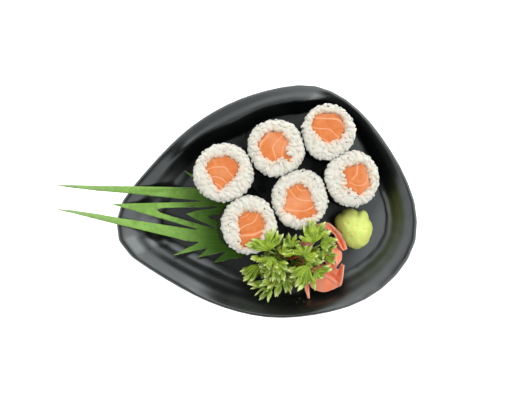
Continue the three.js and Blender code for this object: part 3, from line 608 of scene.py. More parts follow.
# Materials
class Tree:
    """Adds nodes to a node tree and joins them up."""

    def __init__(self, tree):
        self.tree = tree

    def put(self, socket, value):
        """Joins a socket to another one, or gives it a constant."""
        if isinstance(value, bpy.types.NodeSocket):
            self.tree.links.new(value, socket)
        else:
            socket.default_value = value

    def add(self, kind, sockets=(), **settings):
        node = self.tree.nodes.new("ShaderNode" + kind)
        for name, value in settings.items():
            setattr(node, name, value)
        for name, value in dict(sockets).items():
            self.put(node.inputs[name], value)
        return node

    def mask(self, name):
        return self.add("Attribute", attribute_name=name).outputs["Fac"]

    def place(self):
        return self.add("TexCoord").outputs["Object"]

    def noise(self, vector, scale, detail=2.0, roughness=0.5):
        sockets = {"Vector": vector, "Scale": scale, "Detail": detail, "Roughness": roughness}
        return self.add("TexNoise", sockets).outputs["Fac"]

    def span(self, value, low, high, to_low=0.0, to_high=1.0):
        sockets = {"Value": value, "From Min": low, "From Max": high, "To Min": to_low, "To Max": to_high}
        return self.add("MapRange", sockets, interpolation_type="SMOOTHSTEP").outputs["Result"]

    def mix(self, share, first, second, blend="MIX"):
        """A colour between two, each a socket or three numbers."""
        node = self.add("Mix", data_type="RGBA", blend_type=blend)
        self.put(node.inputs[0], share)
        for index, colour in ((6, first), (7, second)):
            self.put(node.inputs[index], colour if isinstance(colour, bpy.types.NodeSocket) else (*colour, 1))
        return node.outputs[2]

    def reckon(self, first, operation, second):
        node = self.add("Math", operation=operation)
        self.put(node.inputs[0], first)
        self.put(node.inputs[1], second)
        return node.outputs[0]

    def plus(self, first, second):
        return self.reckon(first, "ADD", second)

    def times(self, first, second):
        return self.reckon(first, "MULTIPLY", second)

    def bump(self, height, distance, strength=1.0, over=None):
        """A normal bent by a height, over another bent normal if there is one."""
        sockets = {"Height": height, "Distance": distance, "Strength": strength}
        if over:
            sockets["Normal"] = over
        return self.add("Bump", sockets).outputs["Normal"]


def finish(name, build, **sockets):
    """A material whose shader takes its constants here and its varying values from build."""
    made = bpy.data.materials.new(name)
    made.use_nodes = True
    tree = Tree(made.node_tree)
    shader = made.node_tree.nodes["Principled BSDF"]
    for socket, value in sockets.items():
        shader.inputs[socket.replace("_", " ")].default_value = value
    for socket, value in build(tree).items():
        made.node_tree.links.new(value, shader.inputs[socket.replace("_", " ")])
    return made


def mottle_group():
    """Two scales of soft spots on any piece, as one value from 0 to 1."""
    group = bpy.data.node_groups.get("Mottle")
    if group:
        return group
    group = bpy.data.node_groups.new("Mottle", "ShaderNodeTree")
    group.interface.new_socket("Vector", in_out="INPUT", socket_type="NodeSocketVector")
    for name, value in (("Scale", 300.0), ("Fine", 4.0)):
        socket = group.interface.new_socket(name, in_out="INPUT", socket_type="NodeSocketFloat")
        socket.default_value = value
    group.interface.new_socket("Value", in_out="OUTPUT", socket_type="NodeSocketFloat")
    tree = Tree(group)
    given = group.nodes.new("NodeGroupInput").outputs
    result = group.nodes.new("NodeGroupOutput").inputs
    broad = tree.noise(given["Vector"], given["Scale"], 3.0)
    fine = tree.noise(given["Vector"], tree.times(given["Scale"], given["Fine"]), 2.0)
    both = tree.plus(tree.times(broad, 0.65), tree.times(fine, 0.35))
    group.links.new(tree.span(both, 0.3, 0.7), result["Value"])
    return group


def mottle(tree, vector, scale, fine=4.0):
    sockets = {"Vector": vector, "Scale": scale, "Fine": fine}
    return tree.add("Group", sockets, node_tree=mottle_group()).outputs["Value"]


def bowed_normal(tree, place):
    """The dish's normal, bent as if its whole skin bowed down outwards."""
    parts = tree.add("SeparateXYZ", {"Vector": place}).outputs
    across = tree.reckon(parts["X"], "SUBTRACT", DISH_MIDDLE.x)
    arch = tree.times(tree.times(across, across), -BOW_ACROSS)
    for way, start, rate in DISH_BOWS:
        reach = tree.plus(tree.times(across, way[0]), tree.times(parts["Y"], way[1]))
        past = tree.reckon(tree.reckon(reach, "SUBTRACT", start), "MAXIMUM", 0.0)
        arch = tree.plus(arch, tree.times(tree.times(past, past), -rate))
    return tree.bump(arch, 1.0)


def dish_finish(given):
    def build(tree):
        place = tree.place()
        grey = tuple(min(1, c * 1.7) for c in given.colour)
        smears = tree.noise(place, 25.0, 3.0)
        return {
            "Base_Color": tree.mix(mottle(tree, place, 60.0), given.colour, grey),
            "Roughness": tree.span(smears, 0.3, 0.75, given.roughness - 0.04, given.roughness + 0.08),
            "Normal": tree.bump(tree.noise(place, 1400.0), 0.00002, 0.35, bowed_normal(tree, place)),
        }
    return finish("dish glaze", build, IOR=1.88, Specular_Tint=(0.93, 1, 1, 1))


def bead_finish():
    def build(tree):
        spots = mottle(tree, tree.place(), 900.0)
        return {"Base_Color": tree.mix(spots, BRINE_DARK, BRINE_LIGHT)}
    return finish("brine", build, Roughness=0.12, Coat_Weight=0.5)


def nori_finish(given):
    def build(tree):
        place = tree.place()
        spots = mottle(tree, place, 500.0, 5.0)
        lighter = tuple(c * 2.2 for c in given.nori)
        return {
            "Base_Color": tree.mix(spots, given.nori, lighter),
            "Roughness": tree.span(spots, 0, 1, 0.42, 0.62),
            "Normal": tree.bump(tree.noise(place, 900.0, 4.0, 0.65), 0.0002, 0.6),
        }
    return finish("seaweed", build)


def rice_finish(given):
    def build(tree):
        place = tree.place()
        # Painted glow: peach where the grains touch the salmon
        plain = tree.mix(tree.mask("warm"), given.rice, given.rice_warm)
        # Painted shade: grey on the rounded outer edge, stronger lower down
        edge = tree.mix(tree.mask("cool"), plain, given.rice_cool)
        dull = tree.mix(tree.mask("tone"), edge, GRAIN_SHADE, "MULTIPLY")
        milky = tree.mix(tree.span(tree.noise(place, 500.0, 3.0), 0.35, 0.7, 0.0, 0.25), dull, RICE_MILKY)
        return {"Base_Color": milky, "Normal": tree.bump(tree.noise(place, 1500.0, 2.0), 0.00004, 0.4)}
    return finish("cooked rice", build, Roughness=0.48, Specular_IOR_Level=0.4, Subsurface_Weight=0.15,
                  Subsurface_Scale=0.0008)


def salmon_finish(given):
    def build(tree):
        place = tree.place()
        deep = tuple(c * f for c, f in zip(given.salmon, (0.88, 0.72, 0.60)))
        flesh = tree.mix(mottle(tree, place, 220.0, 5.0), deep, given.salmon)
        paler = tree.mix(tree.mask("pale"), flesh, given.fat)
        lined = tree.mix(tree.mask("fat"), paler, given.fat)
        return {"Base_Color": lined, "Normal": tree.bump(tree.noise(place, 1500.0, 3.0), 0.00006, 0.5)}
    return finish("raw salmon", build, Roughness=0.42, Subsurface_Weight=0.15, Subsurface_Scale=0.0015)


def leaf_finish(given):
    def build(tree):
        turned = {"Vector": tree.place(), "Rotation": (0, 0, -LEAF_TURN), "Scale": (6, 700, 6)}
        veins = tree.noise(tree.add("Mapping", turned).outputs["Vector"], 1.0)
        spots = mottle(tree, tree.place(), 90.0)
        # Painted shade: the green deepens towards the rolls
        green = tree.mix(tree.mask("deep"), given.light, given.deep)
        shaded = tree.mix(tree.span(spots, 0, 1, 0, 0.3), green, given.deep)
        streaked = tree.mix(tree.span(veins, 0.35, 0.65, 0, 0.07), shaded, given.edge)
        tipped = tree.mix(tree.mask("tip"), streaked, LEAF_TIP)
        # Painted shadow on the part of the leaf under the rolls
        under = tree.mix(tree.mask("shade"), tipped, LEAF_UNDER)
        return {"Base_Color": under, "Normal": tree.bump(veins, 0.00006, 0.4)}
    return finish("waxy leaf", build, Roughness=0.42, Specular_IOR_Level=0.12)


def leaf_edge_finish(given):
    def build(tree):
        spots = mottle(tree, tree.place(), 400.0)
        return {"Base_Color": tree.mix(spots, given.edge, given.light)}
    return finish("leaf cut edge", build, Roughness=0.5)


def parsley_finish(given):
    def build(tree):
        place = tree.place()
        spots = mottle(tree, place, 250.0)
        green = tree.mix(spots, given.deep, given.light)
        # Painted shade: deep green in the folds, between the lobes, near the feet and on the lower and inner
        # leaves
        deep = tree.mix(tree.mask("deep"), green, given.deep)
        veined = tree.mix(tree.mask("vein"), deep, given.tip)
        # Pale tips: the leaf's paler edge and painted highlight
        tipped = tree.mix(tree.mask("tip"), veined, given.tip)
        return {"Base_Color": tipped, "Normal": tree.bump(tree.noise(place, 1500.0, 3.0), 0.00008, 0.5)}
    return finish("parsley leaf", build, Roughness=0.42, Specular_IOR_Level=0.35, Subsurface_Weight=0.15,
                  Subsurface_Scale=0.001)


def ginger_finish(given):
    def build(tree):
        place = tree.place()
        spots = mottle(tree, place, 160.0, 4.0)
        flesh = tree.mix(tree.span(spots, 0, 1, 0, 0.3), given.colour, given.deep)
        # Deep: random spots and painted shade in the sunk creases; rim: the pale edges and painted highlight
        # on the raised creases
        deep = tree.mix(tree.mask("deep"), flesh, given.deep)
        rim = tree.mix(tree.mask("rim"), deep, given.rim)
        fibres = tree.noise(place, 900.0, 3.0)
        return {"Base_Color": rim, "Normal": tree.bump(fibres, 0.00008, 0.5)}
    return finish("pickled ginger", build, Roughness=0.32, Subsurface_Weight=0.1, Subsurface_Scale=0.001)


def curl_finish(given):
    def build(tree):
        # Painted shade: the curl lies in the parsley's hollow, so its colours are the deep orange darkened to
        # a fifth and a half
        dark, light = (tuple(c * share for c in given.deep) for share in (0.2, 0.5))
        return {"Base_Color": tree.mix(mottle(tree, tree.place(), 300.0), dark, light)}
    return finish("ginger curl", build, Roughness=0.32)


def wasabi_finish(given):
    def build(tree):
        place = tree.place()
        spots = mottle(tree, place, 260.0, 5.0)
        paste = tree.mix(tree.span(spots, 0, 1, 0, 0.3), given.colour, given.shade)
        # Painted shade: olive at the foot, on the left side and in the dents and pits
        pitted = tree.mix(tree.mask("pit"), paste, given.shade)
        return {"Base_Color": pitted, "Normal": tree.bump(tree.noise(place, 1300.0, 4.0), 0.00025, 0.8)}
    return finish("wasabi paste", build, Roughness=0.7, Subsurface_Weight=0.1, Subsurface_Scale=0.001)


def floor_finish(given):
    def build(tree):
        spots = mottle(tree, tree.place(), 3.0)
        grey = tuple(c * 0.98 for c in given.floor)
        return {"Base_Color": tree.mix(spots, given.floor, grey)}
    return finish("studio floor", build, Roughness=0.8, Specular_IOR_Level=0.1,
                  Emission_Color=(1, 1, 1, 1), Emission_Strength=0.6)


# Dish
def wall_height(angle, share, ripple):
    """Height of the wall's upper side, from 0 at the floor's edge to 1 at the rim."""
    plain = 0.2 * share * share + 0.8 * step(0, 1, share)
    plain += (share ** 2.4 - plain) * 0.5 * eased(LATE_RISES, angle)
    start = eased(FLANGE_STARTS, angle)
    flanged = 1.04 * step(start - 0.28, start + 0.2, share) - 0.04 * step(start + 0.1, 1, share)
    rise = plain + (flanged - plain) * eased(FLANGE_SHARES, angle)
    fade = math.sin(math.pi * share)
    wave = math.sin(FULL_TURN * RIPPLES_ACROSS_WALL * share + 0.6 * math.sin(angle))
    return DISH_FLOOR + (DISH_RIM - DISH_FLOOR) * rise + ripple * eased(RIPPLE_SHARES, angle) * fade * wave


def dish_section(rim, angle, ripple):
    """The dish's section at an angle: floor, wall, rounded rim, underside and foot."""
    lip = DISH_THICKNESS / 2
    floor = rim - eased(WALL_WIDTHS, angle)
    wall = rim - lip - floor
    section = [(floor * k / FLOOR_RINGS, DISH_FLOOR) for k in range(FLOOR_RINGS)]
    for k in range(WALL_RINGS + 1):
        section.append((floor + wall * k / WALL_RINGS, wall_height(angle, k / WALL_RINGS, ripple)))
    for k in range(1, RIM_RINGS):
        turned = math.pi * (0.5 - k / RIM_RINGS)
        section.append((rim - lip + lip * math.cos(turned), DISH_RIM - lip + lip * math.sin(turned)))
    for k in range(UNDER_RINGS, -1, -1):
        share = k / UNDER_RINGS
        under = DISH_UNDER + (DISH_RIM - DISH_THICKNESS - DISH_UNDER) * share ** 1.5
        section.append((floor + wall * share, under))
    outer = floor * FOOT_OUTER
    inner = floor * FOOT_INNER
    section += [(outer + 1, DISH_UNDER), (outer, 0.3), (outer - 0.3, 0), (inner + 1.3, 0), (inner + 1, 0.3),
                (inner, DISH_UNDER), (floor * HOLLOW, DISH_UNDER - 0.3), (0, DISH_UNDER - 0.3)]
    return section


def dish_piece(given):
    """The dish: a closed skin spun round its middle inside the solid's own rim."""
    rim = ring_of(surface("plate"), DISH_MIDDLE + Z_UP * 18.5 * MM, False, 0)
    turns = 192
    sections = [dish_section(rim.at(k / turns * FULL_TURN) / MM, k / turns * FULL_TURN, given.ripple / MM)
                for k in range(turns + 1)]
    rows = len(sections[0]) - 1

    def place(turn, share, vert):
        radius, z = sections[round(turn / FULL_TURN * turns)][round(share * rows)]
        x, y, _ = around(turn) * radius
        return DISH_MIDDLE + Vector((x * DISH_STRETCH[0], y * DISH_STRETCH[1] - DISH_NEARER, z)) * MM

    bm = bmesh.new()
    grid_skin(bm, turns, rows, place)
    close_up(bm)
    made = piece(bm, "dish", [dish_finish(given)], ["plate"])
    soften(made, 1)


def bead_shape(bm):
    """A bead of water, a unit across, flat below."""
    bmesh.ops.create_uvsphere(bm, u_segments=16, v_segments=8, radius=0.5)
    for vert in bm.verts:
        vert.co.z = max(vert.co.z, -0.1) * 0.7


def beads_piece(tree):
    """Beads and smears of brine left on the dish."""
    bm = bmesh.new()
    places = []
    for pixel, size, turn in BEADS:
        spot = seen(pixel, DISH_FLOOR)
        spot.z = height_over(tree, spot.x, spot.y, DISH_FLOOR * MM)
        flat = Matrix.Diagonal((size[0] * MM, size[1] * MM, min(size) * 0.7 * MM, 1))
        places.append(Matrix.Translation(spot) @ Matrix.Rotation(math.radians(turn), 4, "Z") @ flat)
    scatter(bm, bead_shape, places, [[]] * len(places))
    close_up(bm)
    piece(bm, "brine_beads", [bead_finish()])


# Rolls
class Roll:
    """One roll as its solids give it: its middle line, its outline and its filling's outline."""

    def __init__(self, index):
        self.index = index
        self.number = index + 1
        self.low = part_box(f"salmon_{self.number}")[0].z
        self.top = self.low + RICE_TOP_OVER_FOOT
        x, y = ROLLS[index]["top"]
        self.top_middle = DISH_MIDDLE + Vector((x * MM, y * MM, self.top))
        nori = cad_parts[f"nori_{self.number}"].data
        foot = [v.co for v in nori.vertices if v.co.z < self.low + 0.5 * MM]
        self.foot_middle = sum(foot, Vector()) / len(foot)
        self.foot_middle.z = self.low
        wrap = surface(f"nori_{self.number}")
        fish = surface(f"salmon_{self.number}")
        self.foot_ring = ring_of(wrap, self.middle(self.low + 0.3 * MM), False, 3)
        self.top_ring = ring_of(wrap, self.middle(self.top - NORI_BELOW_TOP - 0.8 * MM), False, 3)
        self.fish_ring = ring_of(fish, self.middle(self.top - 2 * MM), True, 2)

    def middle(self, z):
        return self.foot_middle.lerp(self.top_middle, (z - self.low) / RICE_TOP_OVER_FOOT)

    def outer(self, angle, z):
        share = (z - self.low) / (RICE_TOP_OVER_FOOT - NORI_BELOW_TOP)
        foot = self.foot_ring.at(angle)
        return foot + (self.top_ring.at(angle) - foot) * share

    def at(self, angle, radius, z):
        return self.middle(z) + around(angle) * radius


def rice_profile(roll, angle):
    """The rice's section at an angle: from the filling over the top and down inside the wrap."""
    fish = roll.fish_ring.at(angle)
    top = roll.top
    rows = [
        (fish + 0.1 * MM, top - 2.2 * MM),
        (fish + 0.5 * MM, top - 0.5 * MM),
        (fish + 1.4 * MM, top + 0.15 * MM),
    ]
    tighter = ROLLS[roll.index]["narrower"] * math.cos(2 * angle)
    for inward, drop in RICE_SHOULDER:
        z = top - drop * MM
        rows.append((max(roll.outer(angle, z) - (inward + tighter) * MM, fish + 1.4 * MM), z))
    return rows


def along(rows, share):
    """A point at a share of a section's length."""
    lengths = [math.hypot(b[0] - a[0], b[1] - a[1]) for a, b in zip(rows, rows[1:])]
    left = share * sum(lengths)
    for (start, end), length in zip(zip(rows, rows[1:]), lengths):
        if left <= length:
            t = left / length if length else 0
            return start[0] + (end[0] - start[0]) * t, start[1] + (end[1] - start[1]) * t
        left -= length
    return rows[-1]


def rice_skin(roll, angle, share):
    """A point of the rice's skin and the way it faces."""
    rows = rice_profile(roll, angle)
    radius, z = along(rows, share)
    ahead = along(rows, min(share + 0.06, 1))
    behind = along(rows, max(share - 0.06, 0))
    out, up = behind[1] - ahead[1], ahead[0] - behind[0]
    normal = (around(angle) * out + Z_UP * up).normalized()
    return roll.at(angle, radius, z), normal


def rice_core(bm, roll, warm, cool):
    """A closed core under the grains, down to the roll's foot."""
    rows, skin_rows = 24, 18

    def place(angle, share, vert):
        row = share * rows
        fish = roll.fish_ring.at(angle)
        if row <= skin_rows:
            radius, z = along(rice_profile(roll, angle), row / skin_rows)
        else:
            inner, outer = fish + 0.1 * MM, roll.outer(angle, roll.low) - 0.6 * MM
            ways = [(outer, roll.low + 1 * MM), (outer - 0.8 * MM, roll.low), ((inner + outer) / 2, roll.low),
                    (inner, roll.low), (inner, roll.low + 10 * MM), (inner, roll.top - 2.2 * MM)]
            radius, z = ways[round(row - skin_rows - 1)]
        point = roll.at(angle, radius, z)
        if 1 < row < skin_rows:
            point += around(angle) * 0.15 * MM * rough(point, 600, roll.index)
            point.z += 0.2 * MM * rough(point, 500, roll.index + 9) + 0.4 * MM
        # Painted glow from the salmon on the grains beside it
        vert[warm] = warmth(roll, angle, radius)
        # Painted shade at the outer edge
        vert[cool] = coolness(roll, angle, radius, z)
        return point

    grid_skin(bm, 96, rows, place)


# How much painted glow from the salmon a spot of rice gets: full beside the filling, fading out by 3.2 mm
# from it
def warmth(roll, angle, radius):
    return 1 - step(0.3 * MM, 3.2 * MM, radius - roll.fish_ring.at(angle))


# How much painted shade a spot of rice gets: only near the wrap, and more of it lower down
def coolness(roll, angle, radius, z):
    inward = roll.outer(angle, z) - radius
    return (1 - step(0, 2.6 * MM, inward)) * (0.35 + 0.65 * step(0.2 * MM, 2 * MM, roll.top - z))


def grain_shape(bm):
    """One cooked grain, a unit long and slightly bent."""
    bmesh.ops.create_icosphere(bm, subdivisions=2, radius=0.5)
    for vert in bm.verts:
        x, y, z = vert.co
        fuller = 1 - 0.25 * (2 * x) ** 2
        vert.co = Vector((x, y * fuller + 0.10 * (x * x - 0.1), z * fuller))


def lump_spot(roll, place):
    return roll.top_middle + Vector((*place, 0.9)) * MM


def grain_places(roll, given, randoms):
    """Where grains lie on a roll: spread evenly on the skin, no two nearer than the spacing."""
    lumps = [(lump_spot(roll, place), size[0] * MM) for index, place, size in RICE_LUMPS
             if index == roll.index]
    chosen = []
    tries = 0
    while tries < MOST_TRIES and len(chosen) < MOST_GRAINS:
        tries += 1
        angle = randoms.uniform(0, FULL_TURN)
        share = randoms.random()
        point, normal = rice_skin(roll, angle, share)
        radius = (point - roll.middle(point.z)).length
        if randoms.random() > radius / WIDEST_RADIUS:
            continue
        if any((point - spot).length < 0.42 * size for spot, size in lumps):
            continue
        if any((point - other[0]).length_squared < given.grain_gap ** 2 for other in chosen):
            continue
        chosen.append((point, normal, angle, radius, share))
    return chosen


def rice_piece(roll, given, material):
    randoms = random.Random(40 + roll.number)
    bm = bmesh.new()
    warm, cool, tone = masks(bm, "warm", "cool", "tone")
    rice_core(bm, roll, warm, cool)
    places, marks = [], []
    for point, normal, angle, radius, share in grain_places(roll, given, randoms):
        way = Vector((randoms.uniform(-1, 1), randoms.uniform(-1, 1), randoms.uniform(-0.4, 0.4)))
        tilt = laid_on(normal, way) @ Matrix.Rotation(randoms.uniform(-0.2, 0.2), 4, "Y")
        length = given.grain_length * randoms.uniform(0.85, 1.12)
        width = given.grain_width * randoms.uniform(0.88, 1.1)
        size = Matrix.Diagonal((length, width, width * randoms.uniform(0.65, 0.8), 1))
        lift = (randoms.uniform(-0.5, 0.05) - 0.1 * step(0.5, 0.7, share)) * MM
        places.append(Matrix.Translation(point + normal * lift) @ tilt @ size)
        marks.append([
            # Painted glow from the salmon
            (warm, warmth(roll, angle, radius)),
            # Painted shade at the outer edge, varied from grain to grain
            (cool, coolness(roll, angle, radius, point.z) * randoms.uniform(0.4, 1)),
            (tone, randoms.random() ** 2),
        ])
    for index, place, size in RICE_LUMPS:
        if index != roll.index:
            continue
        spot = lump_spot(roll, place)
        places.append(Matrix.Translation(spot) @ Matrix.Diagonal((*(Vector(size) * MM), 1)))
        # The lump gets a little painted glow and painted edge shade
        marks.append([(warm, 0.15), (cool, 0.1), (tone, 0.1)])
    scatter(bm, grain_shape, places, marks)
    close_up(bm)
    piece(bm, f"rice_ring_{roll.number}", [material], [f"rice_{roll.number}"])


def salmon_piece(roll, material):
    """The filling: a cut face with fat lines, and plain sides down to the foot."""
    top_rows, rows = 40, 48
    top = roll.top - SALMON_BELOW_TOP
    lines = []
    for half_width, points in ROLLS[roll.index]["fat"]:
        middle_line = [point * MM for point in curve_through(points, 24)]
        lines.append((half_width * MM, finder_along(middle_line)))
    bm = bmesh.new()
    fat, pale = masks(bm, "fat", "pale")

    def place(angle, share, vert):
        row = round(share * rows)
        torn = around(angle) * 0.01
        ragged = 0.35 * rough(torn, 500, roll.index) + 0.25 * rough(torn, 1300, 3)
        edge = roll.fish_ring.at(angle) + ragged * MM
        if row > top_rows:
            below = [(1, top - 1.2 * MM), (1, (top + roll.low) / 2), (1, roll.low + 0.3 * MM)]
            below += [(part, roll.low) for part in (0.97, 0.7, 0.45, 0.2, 0)]
            part, z = below[row - top_rows - 1]
            return roll.at(angle, edge * part, z)
        out = (row / top_rows) ** 0.85
        spot = around(angle) * edge * out
        near = 0
        for half_width, tree in lines:
            distance = tree.find(spot)[2]
            wide = half_width * (1 + 0.35 * rough(spot, 260, roll.index))
            near = max(near, 1 - step(0.35 * wide, 1.25 * wide, distance))
        vert[fat] = near * (0.75 + 0.25 * rough(spot, 150, roll.index + 3))
        fibres = rough(spot, 330, roll.index + 5) * step(-0.3, 0.6, rough(spot, 90, roll.index + 7))
        vert[pale] = (max(0, 0.35 * fibres) + 0.3 * step(0.9, 1, out)
                      + 0.3 * step(0.0, 0.5, rough(spot, 75, 2 * roll.index + 11)))
        point = roll.at(angle, edge * out, top)
        point.z += 0.16 * MM * rough(spot, 160, roll.index) + 0.10 * MM * near - 0.5 * MM * step(0.93, 1, out)
        return point

    grid_skin(bm, 160, rows, place)
    close_up(bm)
    piece(bm, f"salmon_filling_{roll.number}", [material], [f"salmon_{roll.number}"])


def nori_piece(roll, material):
    """The wrap: one sheet round the rice whose end laps over its start, crinkled."""
    lap = 0.3
    start = 0.7 + 1.3 * roll.index
    high = roll.top - NORI_BELOW_TOP

    def place(turn, share, vert):
        angle = start + turn * (1 + lap / FULL_TURN)
        torn = around(angle) * 0.02
        ragged = 0.5 * MM * rough(torn, 160, roll.index) + 0.2 * MM * rough(torn, 700, 2)
        z = roll.low + (high + ragged - roll.low) * share
        over = 0.35 * MM * step(FULL_TURN - 0.12, FULL_TURN, angle - start)
        crinkle = 0.10 * MM * rough(roll.at(angle, 0.018, z), 420, roll.index + 20)
        return roll.at(angle, roll.outer(angle, z) - 0.15 * MM + over + crinkle, z)

    bm = bmesh.new()
    grid_skin(bm, 150, 24, place)
    bmesh.ops.recalc_face_normals(bm, faces=bm.faces)
    bm.faces.ensure_lookup_table()
    outward = (bm.faces[0].calc_center_median() - roll.middle(roll.low)).dot(bm.faces[0].normal)
    if outward < 0:
        bmesh.ops.reverse_faces(bm, faces=bm.faces)
    made = piece(bm, f"seaweed_wrap_{roll.number}", [material], [f"nori_{roll.number}"])
    thicken(made, NORI_THICKNESS, -1)


def crumb_shape(bm):
    """A torn flake of seaweed, a unit across."""
    bmesh.ops.create_circle(bm, cap_ends=True, segments=7, radius=0.5)
    for i, vert in enumerate(bm.verts):
        vert.co *= 0.7 + 0.3 * math.sin(i * 2.4)
        vert.co.z = 0.12 * math.sin(i * 1.9)
    made = bmesh.ops.extrude_face_region(bm, geom=bm.faces[:])["geom"]
    raised = [part for part in made if isinstance(part, bmesh.types.BMVert)]
    bmesh.ops.translate(bm, vec=(0, 0, 0.18), verts=raised)


def crumbs_piece(rolls, material):
    """Crumbs of seaweed between the grains, most of them near the wrap."""
    randoms = random.Random(5)
    bm = bmesh.new()
    places = []
    for roll in rolls:
        for _ in range(CRUMBS_ON_A_ROLL):
            share = randoms.choice(CRUMB_SHARES) + randoms.uniform(-0.06, 0.06)
            point, normal = rice_skin(roll, randoms.uniform(0, FULL_TURN), min(share, 1))
            turn = laid_on(normal, Vector((randoms.uniform(-1, 1), randoms.uniform(-1, 1), 0.1)))
            size = randoms.uniform(0.7, 1.6) * MM
            flat = Matrix.Diagonal((size, size * randoms.uniform(0.4, 0.8), size * 0.8, 1))
            places.append(Matrix.Translation(point + normal * randoms.uniform(0.85, 1.25) * MM) @ turn @ flat)
    scatter(bm, crumb_shape, places, [[]] * len(places))
    close_up(bm)
    piece(bm, "seaweed_crumbs", [material])


# Leaf
def leaf_point(spot):
    """A spot along and off the fold, in millimetres, as a place over the dish."""
    turned = Matrix.Rotation(LEAF_TURN, 3, "Z") @ Vector((spot[0], spot[1], 0))
    return DISH_MIDDLE + (Vector((LEAF_ROOT[0], LEAF_ROOT[1], 0)) + turned) * MM


def mirrored(half):
    """Both halves of an outline; the lower of the two long blades is a little shorter."""
    lower = [(x + LOWER_BLADE_SHORTER if x < BLADES_LEFT_OF else x, -y) for x, y in reversed(half) if y]
    return list(half) + lower


def leaf_piece(given, finishes):
    bm = bmesh.new()
    deep, tip, shade = masks(bm, "deep", "tip", "shade")
    borders = []
    for ring in [mirrored(LEAF_HALF_OUTLINE)] + [mirrored(slot) for slot in LEAF_SLOTS]:
        verts = [bm.verts.new(leaf_point(spot)) for spot in ring]
        borders += [bm.edges.new((a, b)) for a, b in zip(verts, verts[1:] + verts[:1])]
    bmesh.ops.triangle_fill(bm, use_beauty=True, edges=borders)
    for axis, normal in enumerate((Vector((1, 0, 0)), Vector((0, 1, 0)))):
        first, last = (most(vert.co[axis] for vert in bm.verts) for most in (min, max))
        cell = LEAF_CELLS[axis] * MM
        for k in range(1, int((last - first) / cell) + 1):
            bmesh.ops.bisect_plane(bm, geom=bm.verts[:] + bm.edges[:] + bm.faces[:], dist=1e-6,
                                   plane_co=normal * (first + k * cell), plane_no=normal)
    tree = surface("leaf")
    for vert in bm.verts:
        hit = tree.ray_cast(Vector((vert.co.x, vert.co.y, ABOVE_ALL)), -Z_UP)[0]
        if not hit:
            hit = tree.find_nearest(Vector((vert.co.x, vert.co.y, 0.02)))[0]
        vert.co.z = hit.z
        x, y, _ = vert.co / MM
        vert[tip] = 1 - step(*LEAF_TIPS, x) + 0.25 * (1 - step(*LEAF_PALER, x))
        # Painted shade deepens the green towards the rolls, and painted shadow darkens the part under them
        vert[deep] = step(*LEAF_DEEPER, x)
        vert[shade] = step(*LEAF_SHADED, x + 0.5 * y)
    smooth(bm, 6, use_axis_z=True)
    for vert in bm.verts:
        vert.co.z += 0.1 * MM * math.sin((vert.co.y + 0.13 * vert.co.x) / (2.6 * MM))
    face_up(bm)
    made = piece(bm, "cut_leaf", finishes, ["leaf"])
    thicken(made, given.thickness, -1, 1)


# Parsley
def tooth_reach(place):
    """How far a lobe's toothed edge lies out, at a place from -0.5 to 0.5 across the lobe."""
    for (x0, y0), (x1, y1) in zip(LOBE_TEETH, LOBE_TEETH[1:]):
        if place <= x1 + 1e-6:
            return y0 + (y1 - y0) * (place - x0) / (x1 - x0)
    return LOBE_TEETH[-1][1]


def parsley_leaf(bm, layers, foot, lobes, seed, darkness, cup):
    """One ruffled leaf: lobes that fan out from its foot, each with three teeth."""
    tip, vein, deep = layers
    ways = [lobe - foot for lobe in lobes]
    angles = [math.atan2(way.y, way.x) for way in ways]
    for i in range(1, len(angles)):
        angles[i] += FULL_TURN * round((angles[i - 1] - angles[i]) / FULL_TURN)
    turning = 1 if angles[-1] >= angles[0] else -1
    reaches = [Vector((way.x, way.y)).length for way in ways]
    reaches = [reaches[0], *reaches, reaches[-1]]
    count = len(lobes)
    gaps = [abs(b - a) for a, b in zip(angles, angles[1:])] or [0.7]
    gaps = [gaps[0], *gaps, gaps[-1]]
    samples = 16 if count > 3 else 12

    def place(turn, share, vert):
        spot = turn / FULL_TURN * count
        index = min(int(spot + 1e-6), count - 1)
        across = spot - index - 0.5
        half = gaps[index] if across < 0 else gaps[index + 1]
        angle = angles[index] + turning * across * min(half, 0.95)
        next_reach = reaches[index] if across < 0 else reaches[index + 2]
        reach = reaches[index + 1] + (next_reach - reaches[index + 1]) * abs(across)
        reach *= 1 + 0.08 * rough((angle, seed, 0.3), 5)
        out = share ** 0.8
        shifted = across + 0.07 * rough((index, seed, 2.3), 1.7) * (1 - 4 * across * across)
        shifted = min(max(shifted, -0.5), 0.5)
        toothed = (1 - tooth_reach(shifted)) * (0.85 + 0.5 * rough((index, seed, 0.7), 1.3))
        radius = reach * out * (1 - toothed * step(0.3, 1, share))
        ruffle = math.sin(FULL_TURN * spot * 0.5 + seed * 1.7) * out ** 2
        frill = math.sin(FULL_TURN * spot * 1.7 + seed) * out ** 4
        creases = math.cos(FULL_TURN * across) * out ** 1.5
        angle += (0.5 * rough((index * 0.9, seed, 5.5), 2.3) + 0.14 * math.sin(5 * share + seed)) * out
        point = foot + around(angle) * radius
        rise = cup * out + 1.7 * ruffle + 0.9 * frill + 0.7 * creases - 2.4 * out ** 3
        rise += 1.1 * rough(point, 260, seed) * out
        rise += 2.2 * rough((index * 0.7, seed, 3.1), 1.9) * out ** 2 * math.cos(math.pi * across)
        # Pale teeth and edges, partly painted highlight
        vert[tip] = (0.3 + 0.7 * step(0.75, 1, tooth_reach(shifted))) * step(0.66, 1.0, share)
        vert[vein] = (1 - step(0.02, 0.1, abs(across))) * step(0.1, 0.3, share) * (1 - share) * 0.4
        # Painted shade: darker on lower leaves, in the ruffles' hollows, near the foot and between the lobes
        vert[deep] = min(1, darkness + 0.35 * step(0.2, 0.9, -ruffle) + 0.5 * (1 - step(0, 0.3, share))
                         + 0.5 * step(0.3, 0.5, abs(across)) * share)
        return point + Z_UP * rise * MM
    grid_skin(bm, count * samples, 10, place)


